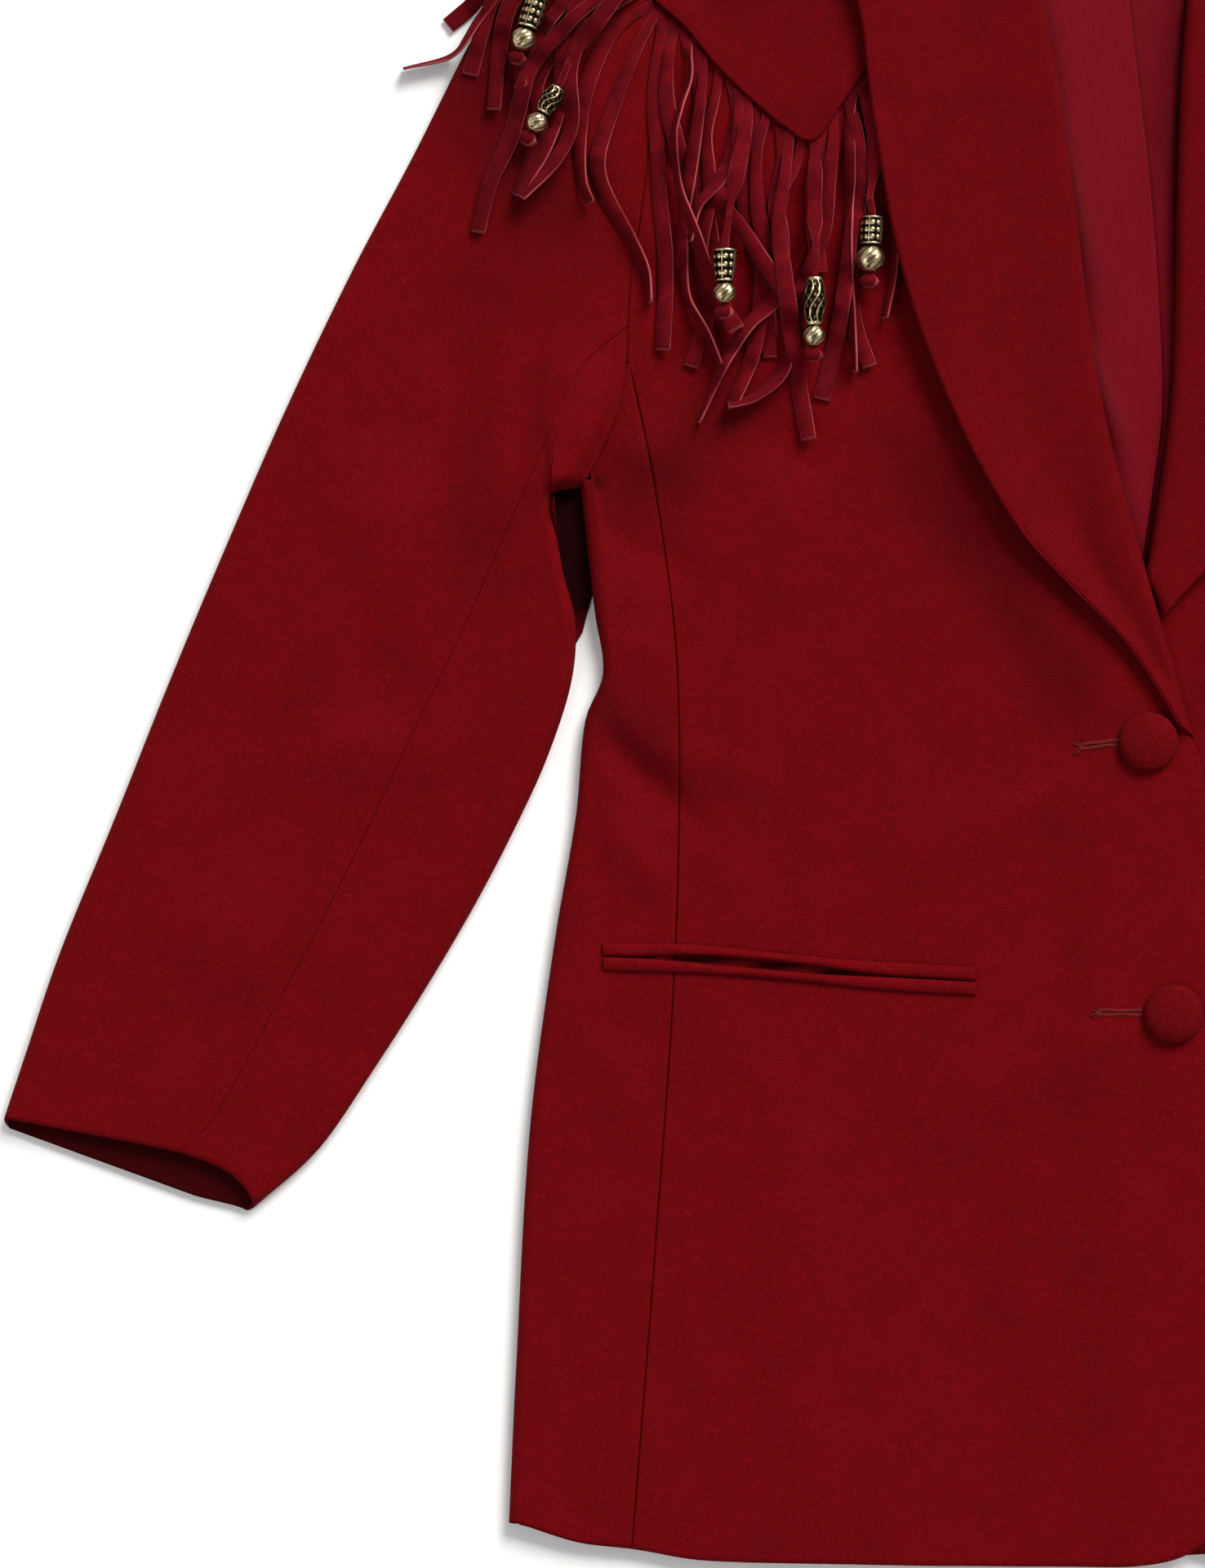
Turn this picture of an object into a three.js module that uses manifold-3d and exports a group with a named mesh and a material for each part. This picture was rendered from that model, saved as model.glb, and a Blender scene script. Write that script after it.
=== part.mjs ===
// A western blazer laid flat on its back, buttoned, its sleeves beside it.
// Millimetres. +X is the wearer's left, +Y runs from hem to neck, +Z is up from the surface.
// Each cut piece of cloth is a closed wall; pieces stand 0.3 mm apart at their seams.
import * as THREE from 'three';
import { mergeVertices } from 'three/addons/utils/BufferGeometryUtils.js';
import Module from 'manifold-3d';

const wasm = await Module();
wasm.setup();

// ---------- driving sizes

const wool = 2.4; // shell cloth with its canvas and lining
const satin = 1.0;
const trimWall = 1.9; // yoke overlay
const seamGap = 0.3;
const bodyTop = 6.9; // top of the front where it lies on the back
const edgeTop = 8.0; // top of the cloth along a side fold
const lapelWall = 2.8; // lapel, two layers turned out
const overlapRise = 2.8; // right front, where it crosses over the left
const neckRise = 2.2; // back, where the collar's fall lies under it
const strand = { width: 5.4, thick: 1.1, gap: 0.3, segments: 7, free: 8 };
const strip = { width: 3, thick: 1.6 };
const bore = 2.1; // hole through a bead
const button = { radius: 12.2, height: 6.6, rim: 2.0, shank: 3.2 };
const welt = { height: 5.2, thick: 1.7, slot: 1.4 };

// Outlines of the wearer's right half, x of each line by height y.
const sideEdge = [
  { y: -374, x: -277 }, { y: -313, x: -271 }, { y: -214, x: -260 }, { y: -139, x: -246 },
  { y: -90, x: -235 }, { y: -51, x: -229 }, { y: -33, x: -221 }, { y: -8, x: -223 }, { y: 42, x: -226 },
];
const princess = [
  { y: -387, x: -228 }, { y: -257, x: -211 }, { y: -138, x: -197 }, { y: -33, x: -191 },
  { y: 40, x: -196 }, { y: 93, x: -204 },
];
const armhole = [
  { y: 42, x: -226 }, { y: 48, x: -222 }, { y: 59, x: -216 }, { y: 74, x: -209 }, { y: 93, x: -205 },
  { y: 123, x: -202 }, { y: 152, x: -196 }, { y: 188, x: -190 }, { y: 237, x: -186 }, { y: 290, x: -190 },
];
const hem = [
  { x: -277, y: -374 }, { x: -252, y: -383 }, { x: -228, y: -387 }, { x: -200, y: -393 },
  { x: -154, y: -397 }, { x: -60, y: -403 }, { x: -22, y: -404 }, { x: -3, y: -400 },
  { x: 10, y: -389 }, { x: 17, y: -375 }, { x: 20, y: -362 },
];
const shoulder = [{ x: -190, y: 290 }, { x: -120, y: 309 }, { x: -64, y: 322 }];
const neckHalf = 64;
const backNeck = [{ x: -64, y: 322 }, { x: -50, y: 311 }, { x: -30, y: 304 }, { x: 0, y: 301 }];
const frontEdge = [{ y: -404, x: 20 }, { y: -100, x: 20 }, { y: -80, x: 18 }];

// Lapel, a row for each section from its foot to the shoulder: a point on the roll line, one on the
// outer edge, the fold's radius there, and how high the underside stands over the front halfway and
// at the edge.
const lapel = [
  { rollX: 16, rollY: -71, edgeX: 9, edgeY: -66, radius: 2.8, mid: 0.6, edge: 0.6 },
  { rollX: 12, rollY: -57, edgeX: 0, edgeY: -49, radius: 3.2, mid: 0.8, edge: 1.4 },
  { rollX: 8, rollY: -40, edgeX: -13, edgeY: -29, radius: 3.6, mid: 0.9, edge: 2.6 },
  { rollX: 3, rollY: -18, edgeX: -32, edgeY: -8, radius: 4.0, mid: 1.0, edge: 4.2 },
  { rollX: -2, rollY: 4, edgeX: -49, edgeY: 12, radius: 4.2, mid: 1.4, edge: 6.0 },
  { rollX: -8, rollY: 32, edgeX: -64, edgeY: 38, radius: 4.2, mid: 1.8, edge: 7.2 },
  { rollX: -14, rollY: 66, edgeX: -77, edgeY: 69, radius: 4.2, mid: 2.4, edge: 8.0 },
  { rollX: -18, rollY: 107, edgeX: -89, edgeY: 106, radius: 4.2, mid: 3.2, edge: 8.6 },
  { rollX: -21, rollY: 150, edgeX: -97, edgeY: 146, radius: 4.2, mid: 3.8, edge: 9.0 },
  { rollX: -25, rollY: 195, edgeX: -102, edgeY: 191, radius: 4.2, mid: 4.2, edge: 8.6 },
  { rollX: -30, rollY: 232, edgeX: -105, edgeY: 230, radius: 4.2, mid: 4.2, edge: 7.6 },
  { rollX: -40, rollY: 270, edgeX: -116, edgeY: 267, radius: 4.2, mid: 3.8, edge: 6.0 },
  { rollX: -56, rollY: 315, edgeX: -136, edgeY: 300, radius: 4.2, mid: 3.6, edge: 4.6 },
];

// Foot of the left lapel, which goes under the right one: it lies on the front by its seat.
const leftLapelFoot = [
  { rollX: -5.5, rollY: -21, edgeX: -9.5, edgeY: -18.5, radius: 2.8, mid: 0.6, edge: 0.8, seat: 2.7 },
  { rollX: -4, rollY: -15, edgeX: -19, edgeY: -9, radius: 2.9, mid: 0.8, edge: 2.0, seat: 2.7 },
  { rollX: -0.3, rollY: -6, edgeX: -34, edgeY: 3, radius: 3.2, mid: 1.0, edge: 4.0, seat: 2.7 },
];

// Collar round the back of the neck, a row for each section: where its inner leaf ends, the fold,
// and where its fall ends under the back.
const collar = [
  { endX: -136, endY: 300.8, foldX: -143, foldY: 313, fallX: -132, fallY: 276, top: 14.0 },
  { endX: -112, endY: 305.0, foldX: -114, foldY: 322, fallX: -106, fallY: 278, top: 14.4 },
  { endX: -84, endY: 310.4, foldX: -84, foldY: 334, fallX: -78, fallY: 280, top: 14.4 },
  { endX: -57, endY: 315.6, foldX: -57, foldY: 341, fallX: -52, fallY: 281, top: 14.0 },
  { endX: -40, endY: 310.0, foldX: -34, foldY: 343, fallX: -33, fallY: 282, top: 12.5 },
  { endX: -20, endY: 304.0, foldX: -17, foldY: 343.5, fallX: -17, fallY: 283, top: 11.2 },
  { endX: 0, endY: 302.6, foldX: 0, foldY: 343.5, fallX: 0, fallY: 283, top: 10.6 },
];

// Sleeve, a row for each section from the armhole to the cuff: outer fold, inner fold, place of the
// front seam across it, how far the underarm reaches under towards the body, and height at the middle.
const sleeve = [
  { outX: -190, outY: 290, inX: -226, inY: 43, seam: 0.74, reach: 0, mid: 8.0 },
  { outX: -214, outY: 281, inX: -233, inY: 36, seam: 0.735, reach: 4, mid: 8.4 },
  { outX: -241, outY: 258, inX: -236, inY: 24, seam: 0.73, reach: 8, mid: 8.6 },
  { outX: -262, outY: 224, inX: -234, inY: 8, seam: 0.72, reach: 8, mid: 8.5 },
  { outX: -287, outY: 180, inX: -231, inY: -12, seam: 0.70, reach: 4, mid: 8.2 },
  { outX: -314, outY: 135, inX: -234, inY: -36, seam: 0.68, reach: 0, mid: 7.8 },
  { outX: -344, outY: 80, inX: -245, inY: -65, seam: 0.67, reach: 0, mid: 7.5 },
  { outX: -372, outY: 24, inX: -259, inY: -92, seam: 0.66, reach: 0, mid: 7.3 },
  { outX: -397, outY: -28, inX: -276, inY: -121, seam: 0.66, reach: 0, mid: 7.2 },
  { outX: -421, outY: -80, inX: -297, inY: -153, seam: 0.66, reach: 0, mid: 7.4 },
  { outX: -446, outY: -133, inX: -322, inY: -188, seam: 0.66, reach: 0, mid: 7.8 },
  { outX: -462, outY: -173, inX: -346, inY: -219, seam: 0.66, reach: 0, mid: 8.2 },
  { outX: -472, outY: -199, inX: -373, inY: -241, seam: 0.66, reach: 0, mid: 8.4 },
];
const armholePull = [1, 0.78, 0.52, 0.3, 0.14, 0.05]; // how much of the armhole's curve a section keeps
const cuffStep = 4.5; // the cuff's underside reaches past its top by this much
const cuffBow = 17; // how far the top's rim bows back, before it falls off to the fold
const backSeam = 0.45; // place of the sleeve's second seam across its underside

// Largest soft folds of the fronts, from one end to the other, with half width and height.
const folds = [
  { fromX: -226, fromY: -42, toX: -186, toY: -74, width: 7, height: 1.3 },
  { fromX: -224, fromY: -58, toX: -180, toY: -98, width: 6, height: -1.2 },
  { fromX: -228, fromY: -90, toX: -196, toY: -120, width: 8, height: 1.0 },
  { fromX: -212, fromY: 60, toX: -170, toY: 44, width: 9, height: 1.2 },
  { fromX: -196, fromY: 96, toX: -120, toY: 40, width: 14, height: -0.9 },
  { fromX: -30, fromY: -86, toX: -110, toY: -116, width: 12, height: 0.9 },
  { fromX: -20, fromY: -186, toX: -120, toY: -230, width: 14, height: 0.9 },
  { fromX: -150, fromY: -215, toX: -165, toY: -385, width: 18, height: 1.1 },
  { fromX: -85, fromY: -240, toX: -92, toY: -395, width: 20, height: -0.9 },
];

// Yoke's lower edge, from the armhole to its point and up again under the lapel.
const yokeEdge = [
  { x: -186, y: 237 }, { x: -174, y: 225 }, { x: -162, y: 209 }, { x: -149, y: 195 },
  { x: -136, y: 183 }, { x: -125, y: 177 }, { x: -113, y: 191 }, { x: -102, y: 205 }, { x: -86, y: 226 },
];
const yokeInner = [{ y: 226, x: -86 }, { y: 262, x: -84 }, { y: 300, x: -92 }];

// Pocket: middle line of its slot.
const pocket = [
  { x: -228, y: -147 }, { x: -190, y: -150 }, { x: -154, y: -155 }, { x: -121, y: -160 }, { x: -77, y: -165 },
];
const buttons = [{ name: 'upper', x: -3, y: -72 }, { name: 'lower', x: 1.5, y: -182 }];

// Fringe, a row for each strand in the order it lies: where its root is along the line it hangs
// from, a point it passes and its end. bead gives the beads threaded on it.
const armholeFringe = [
  { at: 50, viaX: -250, viaY: 262, endX: -272, endY: 233 },
  { at: 42, viaX: -246, viaY: 252, endX: -289, endY: 216 },
  { at: 34, viaX: -236, viaY: 250, endX: -253, endY: 195 },
  { at: 26, viaX: -213, viaY: 209, endX: -216, endY: 157 },
  { at: 18, viaX: -236, viaY: 212, endX: -261, endY: 147 },
  { at: 4, viaX: -211, viaY: 171, endX: -194, endY: 115 },
  { at: 46, viaX: -252, viaY: 250, endX: -272, endY: 220 },
  { at: 38, viaX: -243, viaY: 252, endX: -263, endY: 211 },
  { at: 22, viaX: -222, viaY: 222, endX: -240, endY: 160 },
  { at: 30, viaX: -226, viaY: 256, endX: -243, endY: 214, bead: 'shoulder' },
  { at: 11, viaX: -214, viaY: 222, endX: -241, endY: 181, bead: 'sleeve' },
];
const yokeFringe = [
  { at: 3, viaX: -189, viaY: 172, endX: -190, endY: 97 },
  { at: 17, viaX: -180, viaY: 171, endX: -161, endY: 98 },
  { at: 31, viaX: -171, viaY: 164, endX: -187, endY: 86 },
  { at: 45, viaX: -159, viaY: 170, endX: -175, endY: 150 },
  { at: 58, viaX: -153, viaY: 160, endX: -151, endY: 94 },
  { at: 70, viaX: -147, viaY: 153, endX: -154, endY: 100 },
  { at: 82, viaX: -137, viaY: 126, endX: -133, endY: 58 },
  { at: 114, viaX: -114, viaY: 148, endX: -135, endY: 92 },
  { at: 128, viaX: -111, viaY: 146, endX: -114, endY: 81 },
  { at: 146, viaX: -94, viaY: 160, endX: -98, endY: 103 },
  { at: 137, viaX: -100, viaY: 177, endX: -106, endY: 117, bead: 'lapel' },
  { at: 10, viaX: -184, viaY: 178, endX: -185, endY: 110 },
  { at: 24, viaX: -179, viaY: 145, endX: -167, endY: 89 },
  { at: 38, viaX: -170, viaY: 150, endX: -173, endY: 80 },
  { at: 64, viaX: -156, viaY: 148, endX: -141, endY: 108 },
  { at: 76, viaX: -143, viaY: 113, endX: -176, endY: 65 },
  { at: 88, viaX: -142, viaY: 146, endX: -135, endY: 108 },
  { at: 107, viaX: -111, viaY: 171, endX: -125, endY: 126 },
  { at: 121, viaX: -110, viaY: 135, endX: -127, endY: 72 },
  { at: 52, viaX: -161, viaY: 168, endX: -165, endY: 107, bead: 'chest' },
  { at: 94, viaX: -126, viaY: 150, endX: -130, endY: 88, bead: 'point' },
];
// Beads on one strand: a barrel and a ball below it, each by its radius and length.
const beads = {
  shoulder: { barrelRadius: 4.0, barrel: 13, ballRadius: 4.3 },
  sleeve: { barrelRadius: 3.9, barrel: 12, ballRadius: 4.2 },
  chest: { barrelRadius: 4.0, barrel: 13, ballRadius: 4.1 },
  point: { barrelRadius: 4.3, barrel: 19, ballRadius: 4.1 },
  lapel: { barrelRadius: 3.8, barrel: 11, ballRadius: 5.4 },
};
const knot = 5; // suede knot below the ball

// ---------- finishes

const finishes = {
  wool: { color: 0x6c0a0f, roughness: 0.95, metalness: 0 },
  suede: { color: 0x700d16, roughness: 0.9, metalness: 0 },
  satin: { color: 0x741519, roughness: 0.4, metalness: 0 },
  coveredButton: { color: 0x5f070b, roughness: 0.9, metalness: 0 },
  brass: { color: 0xa8863c, roughness: 0.4, metalness: 1 },
};

// ---------- lines and surfaces

const clamp = THREE.MathUtils.clamp;
const mix = THREE.MathUtils.lerp;
const smooth = THREE.MathUtils.smoothstep;

// Column `key` of a table where column `by` has the value `at`, as a smooth curve through its rows.
function along(rows, at, key = 'x', by = 'y') {
  const up = rows[rows.length - 1][by] > rows[0][by] ? 1 : -1;
  let i = 0;
  while (i < rows.length - 2 && (at - rows[i + 1][by]) * up > 0) i += 1;
  const a = rows[i];
  const b = rows[i + 1];
  const span = b[by] - a[by];
  const t = clamp((at - a[by]) / span, 0, 1);
  const slope = (k) => {
    const lower = rows[Math.max(k - 1, 0)];
    const upper = rows[Math.min(k + 1, rows.length - 1)];
    return (upper[key] - lower[key]) / (upper[by] - lower[by]);
  };
  const bend = t * t * (3 - 2 * t);
  const ease = t * (1 - t) * (1 - t) * slope(i) * span - t * t * (1 - t) * slope(i + 1) * span;
  return mix(a[key], b[key], bend) + ease;
}

// Seam of the front and the lapel: the front's edge line lies under the lapel's fold.
const seamLine = lapel.map((row) => {
  const toEdge = new THREE.Vector2(row.edgeX - row.rollX, row.edgeY - row.rollY).normalize();
  return { x: row.rollX + toEdge.x * row.radius, y: row.rollY + toEdge.y * row.radius };
});
const openEdge = [...frontEdge, ...seamLine];
const rollLine = [...frontEdge, ...lapel.map((row) => ({ y: row.rollY, x: row.rollX }))];

// How much the neck lifts the cloth over the collar's fall, 0 to 1.
function neckLift(x, y) {
  return smooth(y, 246, 264) * (1 - smooth(Math.abs(x), 152, 188));
}

// Height that the soft folds add to a front.
function foldHeight(x, y) {
  let sum = 0;
  for (const fold of folds) {
    const dx = fold.toX - fold.fromX;
    const dy = fold.toY - fold.fromY;
    const length = Math.hypot(dx, dy);
    const t = ((x - fold.fromX) * dx + (y - fold.fromY) * dy) / (length * length);
    const across = ((x - fold.fromX) * dy - (y - fold.fromY) * dx) / length;
    const ends = smooth(t, -0.15, 0.2) * (1 - smooth(t, 0.6, 1.15));
    sum += fold.height * Math.exp(-((across / fold.width) ** 2)) * ends;
  }
  return sum;
}

// Top of the front cloth over a point of the right half. The left front has no overlap rise.
function frontTop(x, y, overlaps) {
  const sideGap = x - (y < 42 ? along(sideEdge, y) : along(armhole, y));
  const puff = (edgeTop - bodyTop) * (1 - smooth(sideGap, 4, 34));
  const over = smooth(x + along(rollLine, y), -30, -4) * (y < 70 ? 1 : 0);
  const shoulderDrop = 1.5 * smooth(y - along(shoulder, x, 'y', 'x'), -9, -1);
  const rise = overlaps ? overlapRise * over : 0;
  return bodyTop + puff + rise + foldHeight(x, y) + neckRise * neckLift(x, y + 14) - shoulderDrop;
}

// ---------- solids

const group = new THREE.Group();
const solids = {};

function finishOf(name) {
  return new THREE.MeshStandardMaterial(finishes[name]);
}

function addMesh(name, geometry, finish) {
  const mesh = new THREE.Mesh(geometry, finishOf(finish));
  mesh.name = name;
  group.add(mesh);
  solids[name] = mesh;
  return mesh;
}

// Geometry from points and triangles; turned over when its volume comes out negative.
function solidOf(points, faces) {
  let volume = 0;
  for (const [a, b, c] of faces) {
    const cross = new THREE.Vector3().crossVectors(points[b], points[c]);
    volume += points[a].dot(cross);
  }
  const index = faces.flatMap(([a, b, c]) => (volume > 0 ? [a, b, c] : [a, c, b]));
  const geometry = new THREE.BufferGeometry();
  geometry.setAttribute('position', new THREE.Float32BufferAttribute(points.flatMap((p) => p.toArray()), 3));
  geometry.setIndex(index);
  return geometry;
}

// Closed wall between two grids of points, outer and inner, with a row for each section.
function wallOf(outer, inner) {
  const rows = outer.length;
  const columns = outer[0].length;
  const points = [...outer.flat(), ...inner.flat()];
  const back = rows * columns;
  const at = (i, j) => i * columns + j;
  const faces = [];
  const quad = (a, b, c, d) => faces.push([a, b, c], [a, c, d]);
  for (let i = 0; i < rows - 1; i += 1) {
    for (let j = 0; j < columns - 1; j += 1) {
      quad(at(i, j), at(i, j + 1), at(i + 1, j + 1), at(i + 1, j));
      quad(back + at(i, j), back + at(i + 1, j), back + at(i + 1, j + 1), back + at(i, j + 1));
    }
  }
  const rim = [];
  for (let j = 0; j < columns - 1; j += 1) rim.push(at(0, j));
  for (let i = 0; i < rows - 1; i += 1) rim.push(at(i, columns - 1));
  for (let j = columns - 1; j > 0; j -= 1) rim.push(at(rows - 1, j));
  for (let i = rows - 1; i > 0; i -= 1) rim.push(at(i, 0));
  rim.forEach((p, k) => {
    const q = rim[(k + 1) % rim.length];
    quad(p, back + p, back + q, q);
  });
  return solidOf(points, faces);
}

// Sheet whose top is the grid and whose underside lies straight below it.
function sheetOf(top, thick) {
  const under = top.map((row) => row.map((p) => new THREE.Vector3(p.x, p.y, p.z - thick)));
  return wallOf(top, under);
}

function mirrored(geometry) {
  const copy = geometry.clone();
  const position = copy.getAttribute('position');
  for (let i = 0; i < position.count; i += 1) position.setX(i, -position.getX(i));
  const index = copy.getIndex();
  for (let i = 0; i < index.count; i += 3) {
    const second = index.getX(i + 1);
    index.setX(i + 1, index.getX(i + 2));
    index.setX(i + 2, second);
  }
  return copy;
}

// Evenly spaced values from 0 to 1.
function steps(count) {
  return Array.from({ length: count + 1 }, (_, i) => i / count);
}

// ---------- body

// Heights of the sections along the side fold; the princess seam's run a little further each way.
const sideHeights = [-374, -313, -214, -139, -90, -51, -33, -8, 15, 42];
const princessHeights = sideHeights.map((y) => mix(-387, 93, (y + 374) / 416));
const armholeHeights = [106, 129, 161, 188, 212, 237, 256, 268, 281, 290];
const bodyGap = 0.2; // half the seam that the body keeps clear

// Centre front: from the princess seam and armhole to the open edge, hem to shoulder. Its last
// columns keep their distance from the open edge, so that one of them starts the overlap's rise.
function frontGrid(overlaps) {
  const across = [0, 0.25, 0.5, 0.75];
  const fromEdge = [72, 44, 16, 0];
  const heights = [...princessHeights, ...armholeHeights];
  const left = (y) => (y < 94 ? along(princess, y) : along(armhole, y)) + bodyGap;
  const right = (y) => along(openEdge, y) - 2 * bodyGap - smooth(y, 290, 310);
  const place = (y, c) => {
    const inner = right(y) - fromEdge[0] * (y > 250 ? 0.8 : 1);
    if (c < across.length) return mix(left(y), inner, across[c]);
    return mix(right(y), inner, fromEdge[c - across.length] / fromEdge[0]);
  };
  const columns = across.length + fromEdge.length;
  return heights.map((level, i) => Array.from({ length: columns }, (_, c) => {
    const hemDrop = i === 0 ? along(hem, place(-404, c), 'y', 'x') - level : 0;
    const climb = smooth(level, 200, 290) * (along(shoulder, place(300, c), 'y', 'x') - 290);
    const y = level + hemDrop + climb;
    const shifted = c > 0 ? place(y, c) : left(Math.min(y, 290));
    return new THREE.Vector3(shifted, y, frontTop(shifted, y, overlaps));
  }));
}

// Side panel: from the princess seam over the side fold to its seam with the back.
const backShort = 2.5; // how much higher the back's hem is than the fronts'
const sideUnder = [{ y: -374, x: 34 }, { y: -200, x: 32 }, { y: -40, x: 26 }, { y: 10, x: 16 }, { y: 42, x: 9 }];
function sideWall() {
  const tops = [0, 0.3, 0.6, 0.85, 1];
  const turns = [60, 20, -20, -60];
  const radius = edgeTop / 2;
  const outer = [];
  const inner = [];
  sideHeights.forEach((foldY, i) => {
    const outRow = [];
    const inRow = [];
    for (const u of tops) {
      const hemBow = i === 0 ? along(hem, mix(-228, -277, u), 'y', 'x') - mix(-387, -374, u) : 0;
      const y = mix(princessHeights[i], foldY, u) + hemBow;
      const fold = along(sideEdge, y) + radius;
      const limit = y > 42 ? Math.max(along(armhole, y) + bodyGap, fold) : fold;
      const onArmhole = i === sideHeights.length - 1 && u > 0;
      const x = Math.max(mix(along(princess, y) - bodyGap, limit, onArmhole ? 1 : u), limit);
      const z = mix(frontTop(x, y, false), edgeTop, smooth(u, 0.6, 1));
      outRow.push(new THREE.Vector3(x, y, z));
      inRow.push(new THREE.Vector3(x, y, z - wool));
    }
    const centre = along(sideEdge, foldY) + radius;
    for (const turn of turns) {
      const angle = THREE.MathUtils.degToRad(turn);
      const point = (r) => new THREE.Vector3(
        centre - r * Math.cos(angle), foldY, radius + r * Math.sin(angle));
      outRow.push(point(radius));
      inRow.push(point(radius - wool));
    }
    for (const u of [0, 1]) {
      const x = mix(centre, along(sideEdge, foldY) + along(sideUnder, foldY), u);
      const y = i === 0 ? along(hem, x, 'y', 'x') + backShort * u : foldY;
      outRow.push(new THREE.Vector3(x, y, 0));
      inRow.push(new THREE.Vector3(x, y, wool));
    }
    outer.push(outRow);
    inner.push(inRow);
  });
  return wallOf(outer, inner);
}

// Back: one sheet between the side panels' seams and the armholes, raised over the collar's fall.
function backGrid() {
  const halves = [1, 0.8, 0.337, 0.16];
  const across = [...halves.map((u) => -u), 0, ...halves.reverse()];
  const side = (y) => {
    const seam = along(sideEdge, y) + along(sideUnder, y);
    return mix(seam, along(armhole, y) + 0.6, smooth(y, 42, 60)) + seamGap;
  };
  const topAt = (u) => {
    const x = -Math.abs(u) * 190;
    return x > -neckHalf ? along(backNeck, x, 'y', 'x') : along(shoulder, x, 'y', 'x');
  };
  const heights = [...sideHeights, 58, 80, 106, 150, 188, 237, 252, 264, 290];
  return heights.map((level, i) => across.map((u) => {
    const hemX = Math.min(-Math.abs(u) * side(level), -30);
    const hemDrop = i === 0 ? along(hem, hemX, 'y', 'x') + backShort - level : 0;
    const climb = smooth(level, 262, 290) * (topAt(u) - 290);
    const y = level + hemDrop + climb;
    return new THREE.Vector3(-u * side(level), y, wool + neckRise * neckLift(u * 190, y));
  }));
}

// Lining of the back where the open neck shows it, with its pleat down the middle.
function liningGrid() {
  const heights = [-24, 20, 70, 120, 170, 215, 237, 252, 264, 299];
  return heights.map((y) => [-1, -0.7, -0.4, -0.12, 0, 0.12, 0.4, 0.7, 1].map((u) => {
    const v = (y + 24) / 323;
    const half = mix(20, 60, smooth(v, 0, 1));
    const pleat = 1.2 * Math.exp(-((u / 0.09) ** 2)) * smooth(v, 0.1, 0.5);
    return new THREE.Vector3(u * half, y, wool + seamGap + satin + pleat + neckRise * neckLift(0, y + 4));
  }));
}

addMesh('back', sheetOf(backGrid(), wool), 'wool');
addMesh('lining', sheetOf(liningGrid(), satin), 'satin');
addMesh('front_right', sheetOf(frontGrid(true), wool), 'wool');
addMesh('front_left', mirrored(sheetOf(frontGrid(false), wool)), 'wool');
addMesh('side_right', sideWall(), 'wool');
addMesh('side_left', mirrored(solids.side_right.geometry), 'wool');

// ---------- sleeves

// Plan point of a section: t runs from the outer fold to the inner fold.
function sleevePlan(row, i, t) {
  const straight = new THREE.Vector2(mix(row.outX, row.inX, t), mix(row.outY, row.inY, t));
  const pull = armholePull[i] ?? 0;
  const y = mix(290, 42, t);
  const curve = along(armhole, y) - 2 * seamGap;
  return straight.add(new THREE.Vector2((curve - mix(-190, -226, t)) * pull, 0));
}

// Point of the tube's wall: place t across, on the top or the underside, or on a fold's turn.
function sleevePoint(row, i, part, t, depth) {
  const width = Math.hypot(row.inX - row.outX, row.inY - row.outY);
  const radius = (edgeTop / 2) * (i === 0 ? 0.97 : 1);
  const small = radius - depth;
  const inset = radius / width;
  if (part === 'top') {
    const place = sleevePlan(row, i, mix(inset, 1 - inset, t));
    const height = mix(edgeTop, row.mid, Math.sin(Math.PI * t));
    if (i === sleeve.length - 1) place.addScaledVector(sleeveDown, -cuffBow * t * (1 - t ** 7));
    return new THREE.Vector3(place.x, place.y, height - depth);
  }
  if (part === 'under') {
    const last = i === sleeve.length - 1 ? 1 : 0;
    const place = sleevePlan(row, i, mix(inset, 1 - inset, t));
    const step = sleeveDown.clone().multiplyScalar(cuffStep * last);
    return new THREE.Vector3(place.x + step.x, place.y + step.y, depth);
  }
  const angle = THREE.MathUtils.degToRad(t);
  const outerFold = part === 'outer fold';
  const centre = sleevePlan(row, i, outerFold ? inset : 1 - inset);
  const toEdge = sleevePlan(row, i, outerFold ? 0 : 1).sub(centre).normalize();
  const lowReach = outerFold ? 0 : row.reach * smooth(-t, 0, 50) * (depth > 0 ? 0.4 : 1);
  const far = small * Math.cos(angle) + lowReach;
  const low = i === sleeve.length - 1 ? cuffStep * smooth(-t, -40, 90) : 0;
  return new THREE.Vector3(
    centre.x + toEdge.x * far + sleeveDown.x * low,
    centre.y + toEdge.y * far + sleeveDown.y * low,
    radius + small * Math.sin(angle),
  );
}
const cuffRow = sleeve[sleeve.length - 1];
const aboveCuff = sleeve[sleeve.length - 3];
const sleeveDown = new THREE.Vector2(
  cuffRow.outX + cuffRow.inX - aboveCuff.outX - aboveCuff.inX,
  cuffRow.outY + cuffRow.inY - aboveCuff.outY - aboveCuff.inY,
).normalize();

function sleeveWall(profile) {
  const grid = (depth) => sleeve.map((row, i) => profile(row).map(([part, t]) => (
    sleevePoint(row, i, part, t, depth))));
  return wallOf(grid(0), grid(wool));
}
const halfSeam = 0.0016; // half a seam's gap, as a share of the sleeve's width
// Upper sleeve: from the front seam over the outer fold to the seam on the underside.
const upperProfile = (row) => [
  ...[1, 0.86, 0.68, 0.48, 0.26, 0].map((t) => ['top', t * (row.seam - halfSeam)]),
  ...[50, 0, -50].map((t) => ['outer fold', t]),
  ...[0, 0.5, 1].map((t) => ['under', t * (backSeam - halfSeam)]),
];
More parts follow.
